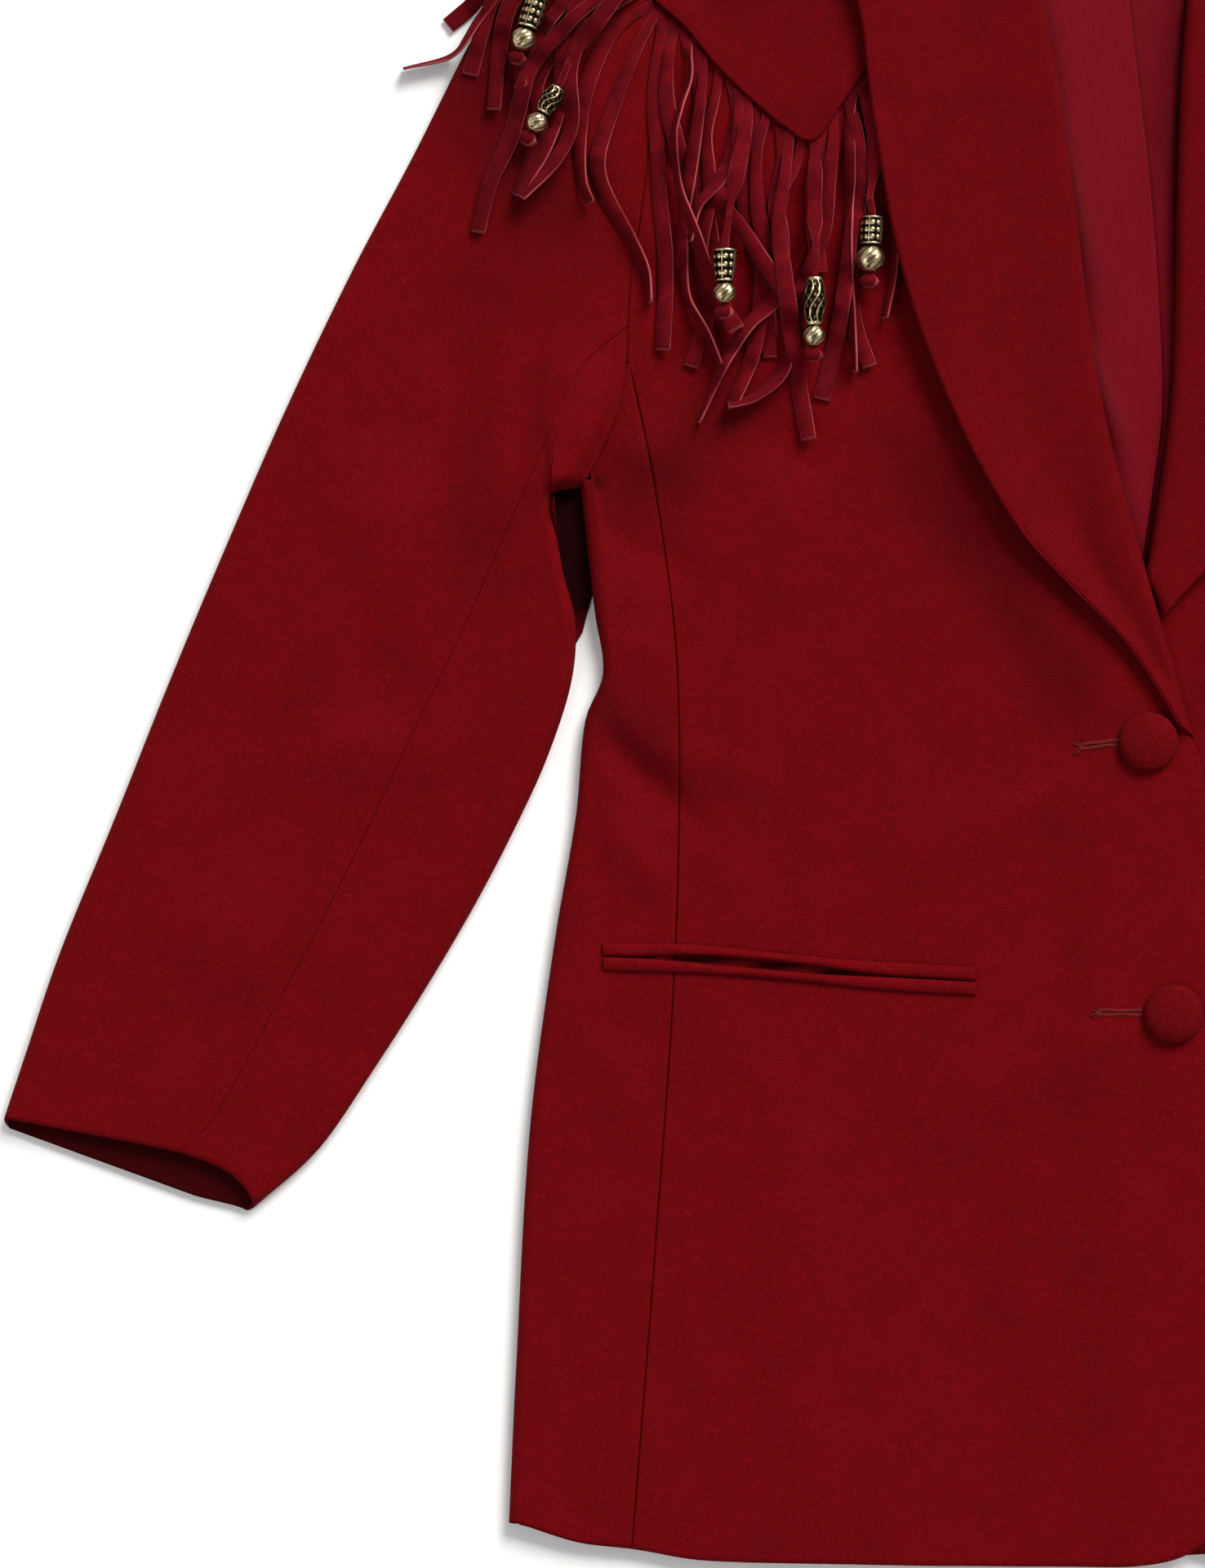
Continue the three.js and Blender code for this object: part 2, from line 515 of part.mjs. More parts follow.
// Under sleeve: from the front seam over the inner fold to the seam on the underside.
const underProfile = (row) => [
  ...[0, 0.25, 0.5, 0.78, 1].map((t) => ['top', mix(row.seam + halfSeam, 1, t)]),
  ...[50, 0, -40, -70].map((t) => ['inner fold', t]),
  ...[0, 0.5, 1].map((t) => ['under', mix(1, backSeam + halfSeam, t)]),
];
addMesh('upper_sleeve_right', sleeveWall(upperProfile), 'wool');
addMesh('under_sleeve_right', sleeveWall(underProfile), 'wool');
addMesh('upper_sleeve_left', mirrored(solids.upper_sleeve_right.geometry), 'wool');
addMesh('under_sleeve_left', mirrored(solids.under_sleeve_right.geometry), 'wool');

// ---------- heights of what lies below

const field = { x: -300, y: -90, step: 1.5, columns: 221, rows: 281 };
field.heights = new Float32Array(field.columns * field.rows);

function cellOf(x, y) {
  const i = clamp(Math.round((x - field.x) / field.step), 0, field.columns - 1);
  const j = clamp(Math.round((y - field.y) / field.step), 0, field.rows - 1);
  return j * field.columns + i;
}

function layMesh(geometry) {
  const flat = geometry.index ? geometry.toNonIndexed() : geometry;
  const p = flat.getAttribute('position');
  const triangle = new THREE.Triangle();
  const bary = new THREE.Vector3();
  for (let k = 0; k < p.count; k += 3) {
    triangle.setFromAttributeAndIndices(p, k, k + 1, k + 2);
    const heights = [triangle.a.z, triangle.b.z, triangle.c.z];
    const box = new THREE.Box3().setFromPoints([triangle.a, triangle.b, triangle.c]);
    triangle.a.z = 0;
    triangle.b.z = 0;
    triangle.c.z = 0;
    if (triangle.getArea() < 0.01) continue;
    const first = Math.max(0, Math.floor((box.min.x - field.x) / field.step));
    const last = Math.min(field.columns - 1, Math.ceil((box.max.x - field.x) / field.step));
    const low = Math.max(0, Math.floor((box.min.y - field.y) / field.step));
    const high = Math.min(field.rows - 1, Math.ceil((box.max.y - field.y) / field.step));
    for (let j = low; j <= high; j += 1) {
      for (let i = first; i <= last; i += 1) {
        const point = new THREE.Vector3(field.x + i * field.step, field.y + j * field.step, 0);
        triangle.getBarycoord(point, bary);
        if (Math.min(bary.x, bary.y, bary.z) < -0.02) continue;
        const z = bary.x * heights[0] + bary.y * heights[1] + bary.z * heights[2];
        const cell = j * field.columns + i;
        field.heights[cell] = Math.max(field.heights[cell], z);
      }
    }
  }
}
const fringeBed = ['front_right', 'side_right', 'upper_sleeve_right', 'under_sleeve_right'];
fringeBed.forEach((name) => layMesh(solids[name].geometry));

function heightNear(x, y, reach) {
  let top = 0;
  for (let dy = -reach; dy <= reach; dy += field.step) {
    for (let dx = -reach; dx <= reach; dx += field.step) {
      top = Math.max(top, field.heights[cellOf(x + dx, y + dy)]);
    }
  }
  return top;
}

// ---------- yoke

// Place on a line of points at a length from its start.
function pointOn(line, length) {
  let rest = length;
  for (let i = 0; i < line.length - 1; i += 1) {
    const step = Math.hypot(line[i + 1].x - line[i].x, line[i + 1].y - line[i].y);
    if (rest <= step || i === line.length - 2) {
      const t = rest / step;
      return new THREE.Vector2(mix(line[i].x, line[i + 1].x, t), mix(line[i].y, line[i + 1].y, t));
    }
    rest -= step;
  }
  return null;
}
const stripStart = 3; // the fringe's strip starts this far along its line
const yokeClear = strip.width + seamGap;
// The yoke's own edge stands back from the fringe's strip.
const yokeCut = yokeEdge.map((p) => ({ x: p.x, y: p.y + yokeClear * 1.6 }));

function yokeGrid() {
  const topLine = [0, 0.14, 0.28, 0.42, 0.56, 0.66, 0.78, 0.88, 1].map((t) => {
    const x = mix(-190, -92, t);
    return { x, y: along(shoulder, x, 'y', 'x') };
  });
  return steps(6).map((v) => yokeCut.map((low, i) => {
    const high = topLine[i];
    const y = mix(low.y, high.y, v);
    const inner = i === yokeCut.length - 1;
    let x = mix(low.x, high.x, v);
    if (inner) x = along(yokeInner, y);
    x = Math.max(x, along(armhole, y) + seamGap);
    return new THREE.Vector3(x, y, heightNear(x, y, 6) + seamGap + trimWall);
  }));
}
addMesh('yoke_right', sheetOf(yokeGrid(), trimWall), 'wool');
layMesh(solids.yoke_right.geometry);
addMesh('yoke_left', mirrored(solids.yoke_right.geometry), 'wool');

// ---------- fringe

function toManifold(geometry) {
  const plain = geometry.clone();
  plain.deleteAttribute('normal');
  plain.deleteAttribute('uv');
  const merged = mergeVertices(plain, 1e-4);
  return new wasm.Manifold(new wasm.Mesh({
    numProp: 3,
    vertProperties: new Float32Array(merged.getAttribute('position').array),
    triVerts: new Uint32Array(merged.getIndex().array),
  }));
}

// The joined solid's outer skin, without the small bubbles that crossing roots shut in.
function fromManifold(solid) {
  const mesh = solid.getMesh();
  const triangles = Array.from(mesh.triVerts);
  const owner = Array.from({ length: mesh.vertProperties.length / 3 }, (_, i) => i);
  const find = (i) => {
    let top = i;
    while (owner[top] !== top) top = owner[top];
    owner[i] = top;
    return top;
  };
  for (let k = 0; k < triangles.length; k += 3) {
    owner[find(triangles[k + 1])] = find(triangles[k]);
    owner[find(triangles[k + 2])] = find(triangles[k]);
  }
  const counts = new Map();
  for (let k = 0; k < triangles.length; k += 3) {
    const skin = find(triangles[k]);
    counts.set(skin, (counts.get(skin) ?? 0) + 1);
  }
  const largest = [...counts].reduce((a, b) => (b[1] > a[1] ? b : a))[0];
  const kept = [];
  for (let k = 0; k < triangles.length; k += 3) {
    if (find(triangles[k]) === largest) kept.push(...triangles.slice(k, k + 3));
  }
  const geometry = new THREE.BufferGeometry();
  geometry.setAttribute('position', new THREE.BufferAttribute(new Float32Array(mesh.vertProperties), 3));
  geometry.setIndex(kept);
  return geometry;
}

// One flat strand: points along it with a width and thickness at each. Its lowest heights follow
// what lies under it; each straight piece is raised until it clears every height below.
function layStrand(root, row, rootZ) {
  const bead = row.bead ? beads[row.bead] : null;
  const via = new THREE.Vector3(row.viaX, row.viaY, 0);
  const end = new THREE.Vector3(row.endX, row.endY, 0);
  let curve = new THREE.CatmullRomCurve3([new THREE.Vector3(root.x, root.y, 0), via, end]);
  let places = curve.getSpacedPoints(strand.segments);
  let straight = 0;
  if (bead) {
    straight = bead.barrel + 2 * bead.ballRadius + 3 * seamGap + knot;
    const heading = end.clone().sub(via).normalize();
    const start = end.clone().addScaledVector(heading, -straight);
    curve = new THREE.CatmullRomCurve3([new THREE.Vector3(root.x, root.y, 0), via, start]);
    const knotTop = end.clone().addScaledVector(heading, -knot);
    places = [...curve.getSpacedPoints(strand.segments - 2), knotTop, end];
  }
  const firstStraight = bead ? places.length - 3 : places.length;
  const widthAt = places.map((_, i) => (i >= firstStraight ? 2.6 : strand.width));
  const thickAt = places.map(() => strand.thick);
  if (bead) {
    widthAt[places.length - 1] = knot;
    thickAt[places.length - 1] = 3;
  }
  const z = places.map(() => 0);
  z[0] = rootZ + 0.2;
  const lift = bead ? Math.max(bead.ballRadius, bead.barrelRadius) + seamGap - strand.thick / 2 : 0;
  const needs = [];
  for (let i = 0; i < places.length - 1; i += 1) {
    const length = places[i].distanceTo(places[i + 1]);
    const count = Math.max(2, Math.ceil(length / 1.5));
    const dir = places[i + 1].clone().sub(places[i]).divideScalar(length);
    for (let k = 0; k <= count; k += 1) {
      const t = k / count;
      const mid = places[i].clone().lerp(places[i + 1], t);
      const inBead = i >= firstStraight && bead;
      const half = (inBead ? (bead.ballRadius * 2) : strand.width) / 2;
      const fromRoot = mid.distanceTo(places[0]);
      if (fromRoot < strand.free) continue;
      let top = 0;
      for (let s = -1; s <= 1.01; s += 0.5) {
        top = Math.max(top, heightNear(mid.x - dir.y * half * s, mid.y + dir.x * half * s, field.step));
      }
      needs.push({ i, t, z: top + strand.gap + (inBead ? lift : 0) });
    }
  }
  for (const need of needs) {
    const nearest = need.i + Math.round(need.t);
    if (nearest > 0) z[nearest] = Math.max(z[nearest], need.z);
  }
  for (let pass = 0; pass < 40; pass += 1) {
    let worst = 0;
    for (const need of needs) {
      const a = need.i;
      const short = need.z - mix(z[a], z[a + 1], need.t);
      if (short <= 0) continue;
      worst = Math.max(worst, short);
      if (a === 0) {
        z[0] = rootZ + strip.thick - 0.5;
        z[1] += short;
        continue;
      }
      const total = (1 - need.t) ** 2 + need.t ** 2;
      z[a] += (short * (1 - need.t)) / total;
      z[a + 1] += (short * need.t) / total;
    }
    if (bead) {
      const level = Math.max(...z.slice(firstStraight));
      for (let i = firstStraight; i < z.length; i += 1) z[i] = level;
    }
    if (worst < 0.02) break;
  }
  const outer = [];
  const inner = [];
  places.forEach((p, i) => {
    const before = places[Math.max(i - 1, 0)];
    const after = places[Math.min(i + 1, places.length - 1)];
    const dir = after.clone().sub(before).normalize();
    const side = new THREE.Vector3(-dir.y, dir.x, 0).multiplyScalar(widthAt[i] / 2);
    const base = z[i] - (thickAt[i] - strand.thick) / 2;
    outer.push([-1, 1].map((s) => new THREE.Vector3(p.x + side.x * s, p.y + side.y * s, base + thickAt[i])));
    inner.push([-1, 1].map((s) => new THREE.Vector3(p.x + side.x * s, p.y + side.y * s, base)));
  });
  for (const need of needs) {
    const a = places[need.i];
    const b = places[need.i + 1];
    const mid = a.clone().lerp(b, need.t);
    const dir = b.clone().sub(a).normalize();
    const inBead = need.i >= firstStraight && bead;
    const half = inBead ? bead.ballRadius : strand.width / 2;
    const top = mix(z[need.i], z[need.i + 1], need.t) + strand.thick + (inBead ? lift : 0);
    for (let s = -1; s <= 1.01; s += 0.25) {
      const cell = cellOf(mid.x - dir.y * half * s, mid.y + dir.x * half * s);
      field.heights[cell] = Math.max(field.heights[cell], top);
    }
  }
  const beadLine = bead ? { bead, start: places[firstStraight], z: z[firstStraight] + strand.thick / 2,
    heading: end.clone().sub(places[firstStraight]).normalize() } : null;
  return { geometry: wallOf(outer, inner), beadLine };
}

// A strip of backing along a line, with its strands fused to it at their roots.
function fringeOf(line, rows, offset) {
  const at = (length, side) => {
    const p = pointOn(line, length);
    const q = pointOn(line, length + 0.5);
    const normal = new THREE.Vector2(-(q.y - p.y), q.x - p.x).normalize().multiplyScalar(side);
    return p.add(normal);
  };
  const total = line.slice(1).reduce((sum, p, i) => sum + Math.hypot(p.x - line[i].x, p.y - line[i].y), 0);
  const count = Math.ceil(total / 10);
  const grid = [];
  for (let k = 0; k <= count; k += 1) {
    const length = mix(stripStart, total - 1, k / count);
    const inner = at(length, offset);
    const outer = at(length, offset - strip.width);
    const bed = Math.max(heightNear(inner.x, inner.y, 3), heightNear(outer.x, outer.y, 3), bodyTop);
    const z = Math.min(bed, 12) + seamGap + strip.thick;
    grid.push([new THREE.Vector3(inner.x, inner.y, z), new THREE.Vector3(outer.x, outer.y, z)]);
  }
  let solid = toManifold(sheetOf(grid, strip.thick));
  const stripZ = (length) => {
    const k = clamp(((length - stripStart) / (total - 1 - stripStart)) * count, 0, count - 0.001);
    const i = Math.floor(k);
    return mix(grid[i][0].z, grid[i + 1][0].z, k - i) - strip.thick;
  };
  const threaded = [];
  for (const row of rows) {
    const root = at(row.at, offset - strip.width / 2);
    const laid = layStrand(root, row, stripZ(row.at));
    solid = solid.add(toManifold(laid.geometry));
    if (laid.beadLine) threaded.push({ name: row.bead, ...laid.beadLine });
  }
  return { geometry: fromManifold(solid), threaded };
}

// ---------- beads

// A turned bead with a bore, its axis along +Y of its own frame, from radii by height.
function beadGeometry(profile) {
  const half = profile[profile.length - 1].at;
  const points = [
    new THREE.Vector2(bore, -half), ...profile.map((p) => new THREE.Vector2(p.radius, p.at)),
    new THREE.Vector2(bore, half), new THREE.Vector2(bore, -half),
  ];
  const lathe = new THREE.LatheGeometry(points, 10);
  lathe.deleteAttribute('normal');
  lathe.deleteAttribute('uv');
  return mergeVertices(lathe, 1e-4);
}

function placeBead(name, geometry, line, distance) {
  const turn = new THREE.Quaternion().setFromUnitVectors(new THREE.Vector3(0, 1, 0), line.heading);
  const place = line.start.clone().addScaledVector(line.heading, distance).setZ(line.z);
  const placed = geometry.clone().applyQuaternion(turn).translate(place.x, place.y, place.z);
  addMesh(`${name}_right`, placed, 'brass');
  addMesh(`${name}_left`, mirrored(placed), 'brass');
}

function addFringe(name, line, rows, offset) {
  const { geometry, threaded } = fringeOf(line, rows, offset);
  addMesh(`${name}_right`, geometry, 'suede');
  addMesh(`${name}_left`, mirrored(geometry), 'suede');
  layMesh(geometry);
  for (const item of threaded) {
    const { bead } = item;
    const half = bead.barrel / 2;
    const barrel = beadGeometry([
      { at: -half, radius: bead.barrelRadius * 0.68 }, { at: -half * 0.4, radius: bead.barrelRadius },
      { at: half * 0.4, radius: bead.barrelRadius }, { at: half, radius: bead.barrelRadius * 0.68 },
    ]);
    const r = bead.ballRadius;
    const end = Math.sqrt(r * r - (bore + 0.5) ** 2);
    const ball = beadGeometry([
      { at: -end, radius: bore + 0.5 }, { at: -end * 0.5, radius: r * 0.93 }, { at: end * 0.5, radius: r * 0.93 },
      { at: end, radius: bore + 0.5 },
    ]);
    placeBead(`barrel_${item.name}`, barrel, item, half + seamGap);
    placeBead(`ball_${item.name}`, ball, item, bead.barrel + r + 2 * seamGap);
  }
}

const armholeLine = [241, 258, 274, 291].map((y) => ({ x: along(armhole, y), y }));
addFringe('yoke_fringe', yokeEdge, yokeFringe, yokeClear * 0.95);
addFringe('armhole_fringe', armholeLine, armholeFringe, -0.8);

// ---------- lapels and collar

function lapelOf(rows) {
  const turns = [-90, -45, 0, 45, 90];
  const shares = [0.14, 0.36, 0.62, 0.86, 1];
  const outer = [];
  const inner = [];
  rows.forEach((row) => {
    const width = Math.hypot(row.edgeX - row.rollX, row.edgeY - row.rollY);
    const dir = new THREE.Vector2(row.edgeX - row.rollX, row.edgeY - row.rollY).divideScalar(width);
    const seam = new THREE.Vector2(row.rollX, row.rollY).addScaledVector(dir, row.radius - seamGap / 2);
    const base = frontTop(seam.x, seam.y, rows[0] === lapel[0]) - wool + (row.seat ?? 0);
    const small = row.radius - wool + 0.3;
    const outRow = [];
    const inRow = [];
    for (const turn of turns) {
      const angle = THREE.MathUtils.degToRad(turn);
      const point = (r) => {
        const place = seam.clone().addScaledVector(dir, -r * Math.cos(angle));
        return new THREE.Vector3(place.x, place.y, base + row.radius + r * Math.sin(angle));
      };
      outRow.push(point(row.radius));
      inRow.push(turn === -90 ? new THREE.Vector3(seam.x, seam.y, base + wool - 0.3) : point(small));
    }
    const start = base + row.radius + small;
    for (const share of shares) {
      const place = seam.clone().addScaledVector(dir, share * (width - row.radius));
      const top = frontTop(place.x, place.y, true);
      const clear = heightNear(place.x, place.y, 4.5) + 2 * seamGap;
      const settle = smooth(share, 0, 0.5);
      const lift = mix(start - top, mix(row.mid, row.edge, smooth(share, 0.3, 1)), settle);
      const z = Math.max(top + lift, clear);
      inRow.push(new THREE.Vector3(place.x, place.y, z));
      outRow.push(new THREE.Vector3(place.x, place.y, z + mix(wool, lapelWall, settle)));
    }
    outer.push(outRow);
    inner.push(inRow);
  });
  return wallOf(outer, inner);
}
addMesh('lapel_right', lapelOf(lapel), 'wool');
addMesh('lapel_left', mirrored(lapelOf([...leftLapelFoot, ...lapel.slice(4)])), 'wool');

function collarWall() {
  const whole = [...collar, ...collar.slice(0, -1).reverse().map((row) => (
    { ...row, endX: -row.endX, foldX: -row.foldX, fallX: -row.fallX }))];
  const grid = (depth) => whole.map((row) => {
    const radius = row.top / 2;
    const small = radius - depth;
    const fold = new THREE.Vector2(row.foldX, row.foldY);
    const end = new THREE.Vector2(row.endX, row.endY);
    const fall = new THREE.Vector2(row.fallX, row.fallY);
    const inward = end.clone().sub(fold).normalize();
    const centre = fold.clone().addScaledVector(inward, radius);
    const points = [new THREE.Vector3(end.x, end.y, row.top - depth)];
    for (const turn of [90, 50, 0, -50]) {
      const angle = THREE.MathUtils.degToRad(turn);
      const place = centre.clone().addScaledVector(inward, -small * Math.cos(angle));
      points.push(new THREE.Vector3(place.x, place.y, radius + small * Math.sin(angle)));
    }
    for (const t of [0.12, 0.6, 1]) {
      const place = centre.clone().lerp(fall, t);
      points.push(new THREE.Vector3(place.x, place.y, depth > 0 ? trimWall : 0));
    }
    return points;
  });
  return wallOf(grid(0), grid(wool));
}
addMesh('collar', collarWall(), 'wool');

// ---------- pockets and buttons

// A welt: a strip over the panels between two offsets from the slot's line.
function weltGrid(low, high) {
  return steps(10).map((t) => {
    const x = mix(-227, -77, t);
    const y = along(pocket, x, 'y', 'x');
    return [low, high].map((side) => {
      const bed = Math.max(...[-2, 0, 2].map((dx) => frontTop(x + dx, y + side, false)));
      return new THREE.Vector3(x, y + side, bed + 0.45 + welt.thick);
    });
  });
}
const half = welt.slot / 2;
addMesh('welt_upper_right', sheetOf(weltGrid(half, half + welt.height), welt.thick), 'wool');
addMesh('welt_lower_right', sheetOf(weltGrid(-half - welt.height, -half), welt.thick), 'wool');
addMesh('welt_upper_left', mirrored(solids.welt_upper_right.geometry), 'wool');
addMesh('welt_lower_left', mirrored(solids.welt_lower_right.geometry), 'wool');

for (const place of buttons) {
  const bed = Math.max(...[[0, 0], [-9, 0], [9, 0], [0, 9], [0, -9]].map(([dx, dy]) => (
    frontTop(Math.min(place.x + dx, 18), place.y + dy, true))));
  const { radius, height, rim, shank } = button;
  const profile = [
    [0, 0], [shank, 0], [shank, 1.1], [radius - 1.2, 1.1], [radius, rim], [radius, rim + 1],
    [radius * 0.86, height * 0.74], [radius * 0.5, height * 0.95], [0, height],
  ].map(([r, z]) => new THREE.Vector2(r, z));
  const turned = new THREE.LatheGeometry(profile, 20).rotateX(Math.PI / 2);
  turned.deleteAttribute('normal');
  turned.deleteAttribute('uv');
  addMesh(`button_${place.name}`, mergeVertices(turned, 1e-4).translate(place.x, place.y, bed + seamGap), 'coveredButton');
}

// ---------- origin: middle of the laid-out jacket, on the surface

const box = new THREE.Box3().setFromObject(group);
const middle = box.getCenter(new THREE.Vector3());
group.position.set(-middle.x, -middle.y, -box.min.z);

export default group;
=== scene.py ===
import bpy
import numpy as np
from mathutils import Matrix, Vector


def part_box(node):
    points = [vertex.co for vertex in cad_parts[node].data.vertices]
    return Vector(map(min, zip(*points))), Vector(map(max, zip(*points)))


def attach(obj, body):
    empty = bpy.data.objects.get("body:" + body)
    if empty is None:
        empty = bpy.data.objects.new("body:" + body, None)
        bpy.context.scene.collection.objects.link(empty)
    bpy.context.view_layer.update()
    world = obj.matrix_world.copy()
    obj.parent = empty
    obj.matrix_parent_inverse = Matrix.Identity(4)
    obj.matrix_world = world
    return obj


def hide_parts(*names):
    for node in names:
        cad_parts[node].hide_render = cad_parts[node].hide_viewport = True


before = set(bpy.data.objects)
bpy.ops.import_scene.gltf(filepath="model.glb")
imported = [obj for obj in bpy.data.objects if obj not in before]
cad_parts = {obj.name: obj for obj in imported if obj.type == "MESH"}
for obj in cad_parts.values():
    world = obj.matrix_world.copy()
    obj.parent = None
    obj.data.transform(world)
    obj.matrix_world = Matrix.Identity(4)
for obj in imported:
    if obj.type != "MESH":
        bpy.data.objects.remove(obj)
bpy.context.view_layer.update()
density = 0.72  # share of the full number of rows and columns
rng = np.random.default_rng(7)

buttons = {"upper": (-3.0, -72.0), "lower": (1.5, -182.0)}
buttonMiddle = np.mean(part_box("button_upper"), axis=0) * 1000
# From the garment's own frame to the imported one.
frameShift = np.array([*(buttonMiddle[:2] - buttons["upper"]), 0.0])

cloth = {"wall": 2.4, "top": 6.9, "sideTop": 8.0, "overlap": 2.8, "neckRise": 2.2, "rim": 0.9, "gap": 0.07}
overlayShade = (0.13, 0.2)  # how much painted shade the lapels and yokes get on their outer and inner faces
# Heights where the panels' own rows begin and end, and the armhole's line at its two ends.
station = {"hem": -387, "sideHem": -374, "underarm": 42, "princess": 93, "shoulder": 290,
           "shoulderX": -190, "underarmX": -226}

sideEdge = {"y": (-374, -313, -214, -139, -90, -51, -33, -8, 42),
            "x": (-277, -271, -260, -246, -235, -229, -221, -223, -226)}
princess = {"y": (-387, -257, -138, -33, 40, 93), "x": (-228, -211, -197, -191, -196, -204)}
armhole = {"y": (42, 48, 59, 74, 93, 123, 152, 188, 237, 290),
           "x": (-226, -222, -216, -209, -205, -202, -196, -190, -186, -190)}
hemLine = {"x": (-277, -252, -228, -200, -154, -60, -22, -3, 10, 17, 20),
           "y": (-374, -383, -387, -393, -397, -403, -404, -400, -389, -375, -362)}
shoulder = {"x": (-190, -120, -64), "y": (290, 309, 322)}
backNeck = {"x": (-64, -50, -30, 0), "y": (322, 311, 304, 301)}

# Lapel by sections from its foot to the shoulder: roll line, outer edge, radius of the fold, and the
# height of its underside over the front halfway and at the edge.
lapel = {
    "rollX": (16, 12, 8, 3, -2, -8, -14, -18, -21, -25, -30, -40, -56),
    "rollY": (-71, -57, -40, -18, 4, 32, 66, 107, 150, 195, 232, 270, 315),
    "edgeX": (9, 0, -13, -32, -49, -64, -77, -89, -97, -102, -105, -116, -136),
    "edgeY": (-66, -49, -29, -8, 12, 38, 69, 106, 146, 191, 230, 267, 300),
    "radius": (1.3, 2.1, 3.0, 3.7, 4.2, 4.2, 4.2, 4.2, 4.2, 4.2, 4.2, 4.2, 4.2),
    "mid": (0.6, 0.8, 0.9, 1.0, 1.4, 1.8, 2.4, 3.2, 3.8, 4.2, 4.2, 3.8, 3.6),
    "edge": (0.8, 2.0, 3.6, 5.4, 7.0, 7.8, 8.2, 8.6, 9.0, 8.6, 7.6, 6.0, 4.6),
}
# Foot of the left lapel, which goes under the right one and lies on the front by its seat.
leftFoot = {
    "rollX": (-5.5, -4, -0.3), "rollY": (-21, -15, -6), "edgeX": (-9.5, -19, -34), "edgeY": (-18.5, -9, 3),
    "radius": (2.8, 2.9, 3.2), "mid": (0.6, 0.8, 1.0), "edge": (0.8, 2.0, 4.0), "seat": (2.7, 2.7, 2.7),
}
# Soft folds of the fronts, from one end to the other, with half width and height.
bodyFolds = {
    "fromX": (-226, -224, -228, -212, -196, -30, -20, -150, -85,
              -222, -214, -196, -120, -60, -235, -200, -84),
    "fromY": (-42, -58, -90, 60, 96, -86, -186, -215, -240, -22, 22, 132, 30, -20, -180, -60, 66),
    "toX": (-186, -180, -196, -170, -120, -110, -120, -165, -92,
            -192, -176, -150, -60, -110, -200, -150, -10),
    "toY": (-76, -100, -124, 44, 40, -116, -230, -385, -395, -30, 4, 100, -60, -60, -240, -84, -70),
    "width": (7, 6, 8, 9, 14, 12, 14, 18, 20, 5, 7, 10, 22, 16, 12, 9, 15),
    "height": (2.3, -2.4, 1.9, 1.8, -1.7, 1.6, 1.8, 2.0, -1.8, 1.0, -1.3, -1.2, 1.4, -1.1, 1.3, 1.1, 2.0),
}
# Painted shade in the creases and under what hangs over it, as strokes; height is how dark.
paintedShadeStrokes = {
    "fromX": (-104, -216, -231, -268, -262, -212),
    "fromY": (60, 30, -40, 246, 76, -70),
    "toX": (-14, -150, -186, -222, -276, -160),
    "toY": (-72, 84, -66, 128, -26, -84),
    "width": (15, 16, 11, 24, 13, 9),
    "height": (0.34, 0.34, 0.36, 0.5, 0.16, 0.1),
}
yokeEdge = {"x": (-186, -174, -162, -149, -136, -125, -113, -102, -86),
            "y": (237, 225, 209, 195, 183, 177, 191, 205, 226)}
# shade and dark: how much painted shade the pocket's mouth gets, and where along the pocket it fades in and
# out.
pocket = {"fromX": -228, "toX": -77, "height": 5.2, "rise": 1.9, "slot": 0.5, "mouth": 3.2,
          "shade": 0.85, "dark": (-225, -219, -117, -85),
          "x": (-228, -190, -154, -121, -77), "y": (-147, -150, -155, -160, -165)}
valley = {"depth": 3.8, "width": 12.0}  # the crease between body and sleeve at the underarm
# Painted shade in the hollow under the underarm: it deepens below its top, and fades in and out along y and
# x.
hollow = {"top": 7.2, "depth": 3.2, "y": (-24, -4, 44, 50), "x": (-242, -239, -216, -210)}


def smooth(value, start, end):
    # 0 before start, 1 after end, and a cubic between them.
    t = np.clip((value - start) / (end - start), 0, 1)
    return t * t * (3 - 2 * t)


def window(value, start, full, fading, end):
    # Up from 0 to 1 between start and full, and down again between fading and end.
    return smooth(value, start, full) * (1 - smooth(value, fading, end))


def bell(value, width):
    # 1 at 0, and about a third at the width.
    return np.exp(-(value / width) ** 2)


def mix(a, b, t):
    # Straight from a to b as t goes from 0 to 1.
    return a + (b - a) * t


def curve(by, values, at):
    # A cubic between neighbouring rows whose slope at a row is that of the line between its neighbours.
    by = np.asarray(by, float)
    values = np.asarray(values, float)
    if by[-1] < by[0]:
        by, values = by[::-1], values[::-1]
    last = len(by) - 1
    lower = np.maximum(np.arange(last + 1) - 1, 0)
    upper = np.minimum(np.arange(last + 1) + 1, last)
    slope = (values[upper] - values[lower]) / (by[upper] - by[lower])
    at = np.clip(at, by[0], by[-1])
    i = np.clip(np.searchsorted(by, at, side="right") - 1, 0, last - 1)
    span = by[i + 1] - by[i]
    t = (at - by[i]) / span
    ease = t * (1 - t) ** 2 * slope[i] * span - t * t * (1 - t) * slope[i + 1] * span
    return mix(values[i], values[i + 1], t * t * (3 - 2 * t)) + ease


def xOf(line, y):
    # Where a line is at a height.
    return curve(line["y"], line["x"], y)


def yOf(line, x):
    # How high a line is at a place across.
    return curve(line["x"], line["y"], x)


def sectionsAt(table, at):
    # Every column of a table at places between its rows, which are counted from 0.
    return {key: curve(np.arange(len(values)), values, at) for key, values in table.items()}


def unit(vectors):
    # The same directions with a length of 1.
    return vectors / np.linalg.norm(vectors, axis=-1, keepdims=True)


def runLengths(points):
    # Length from the first point to each of them.
    return np.concatenate([[0], np.cumsum(np.linalg.norm(np.diff(points, axis=0), axis=1))])


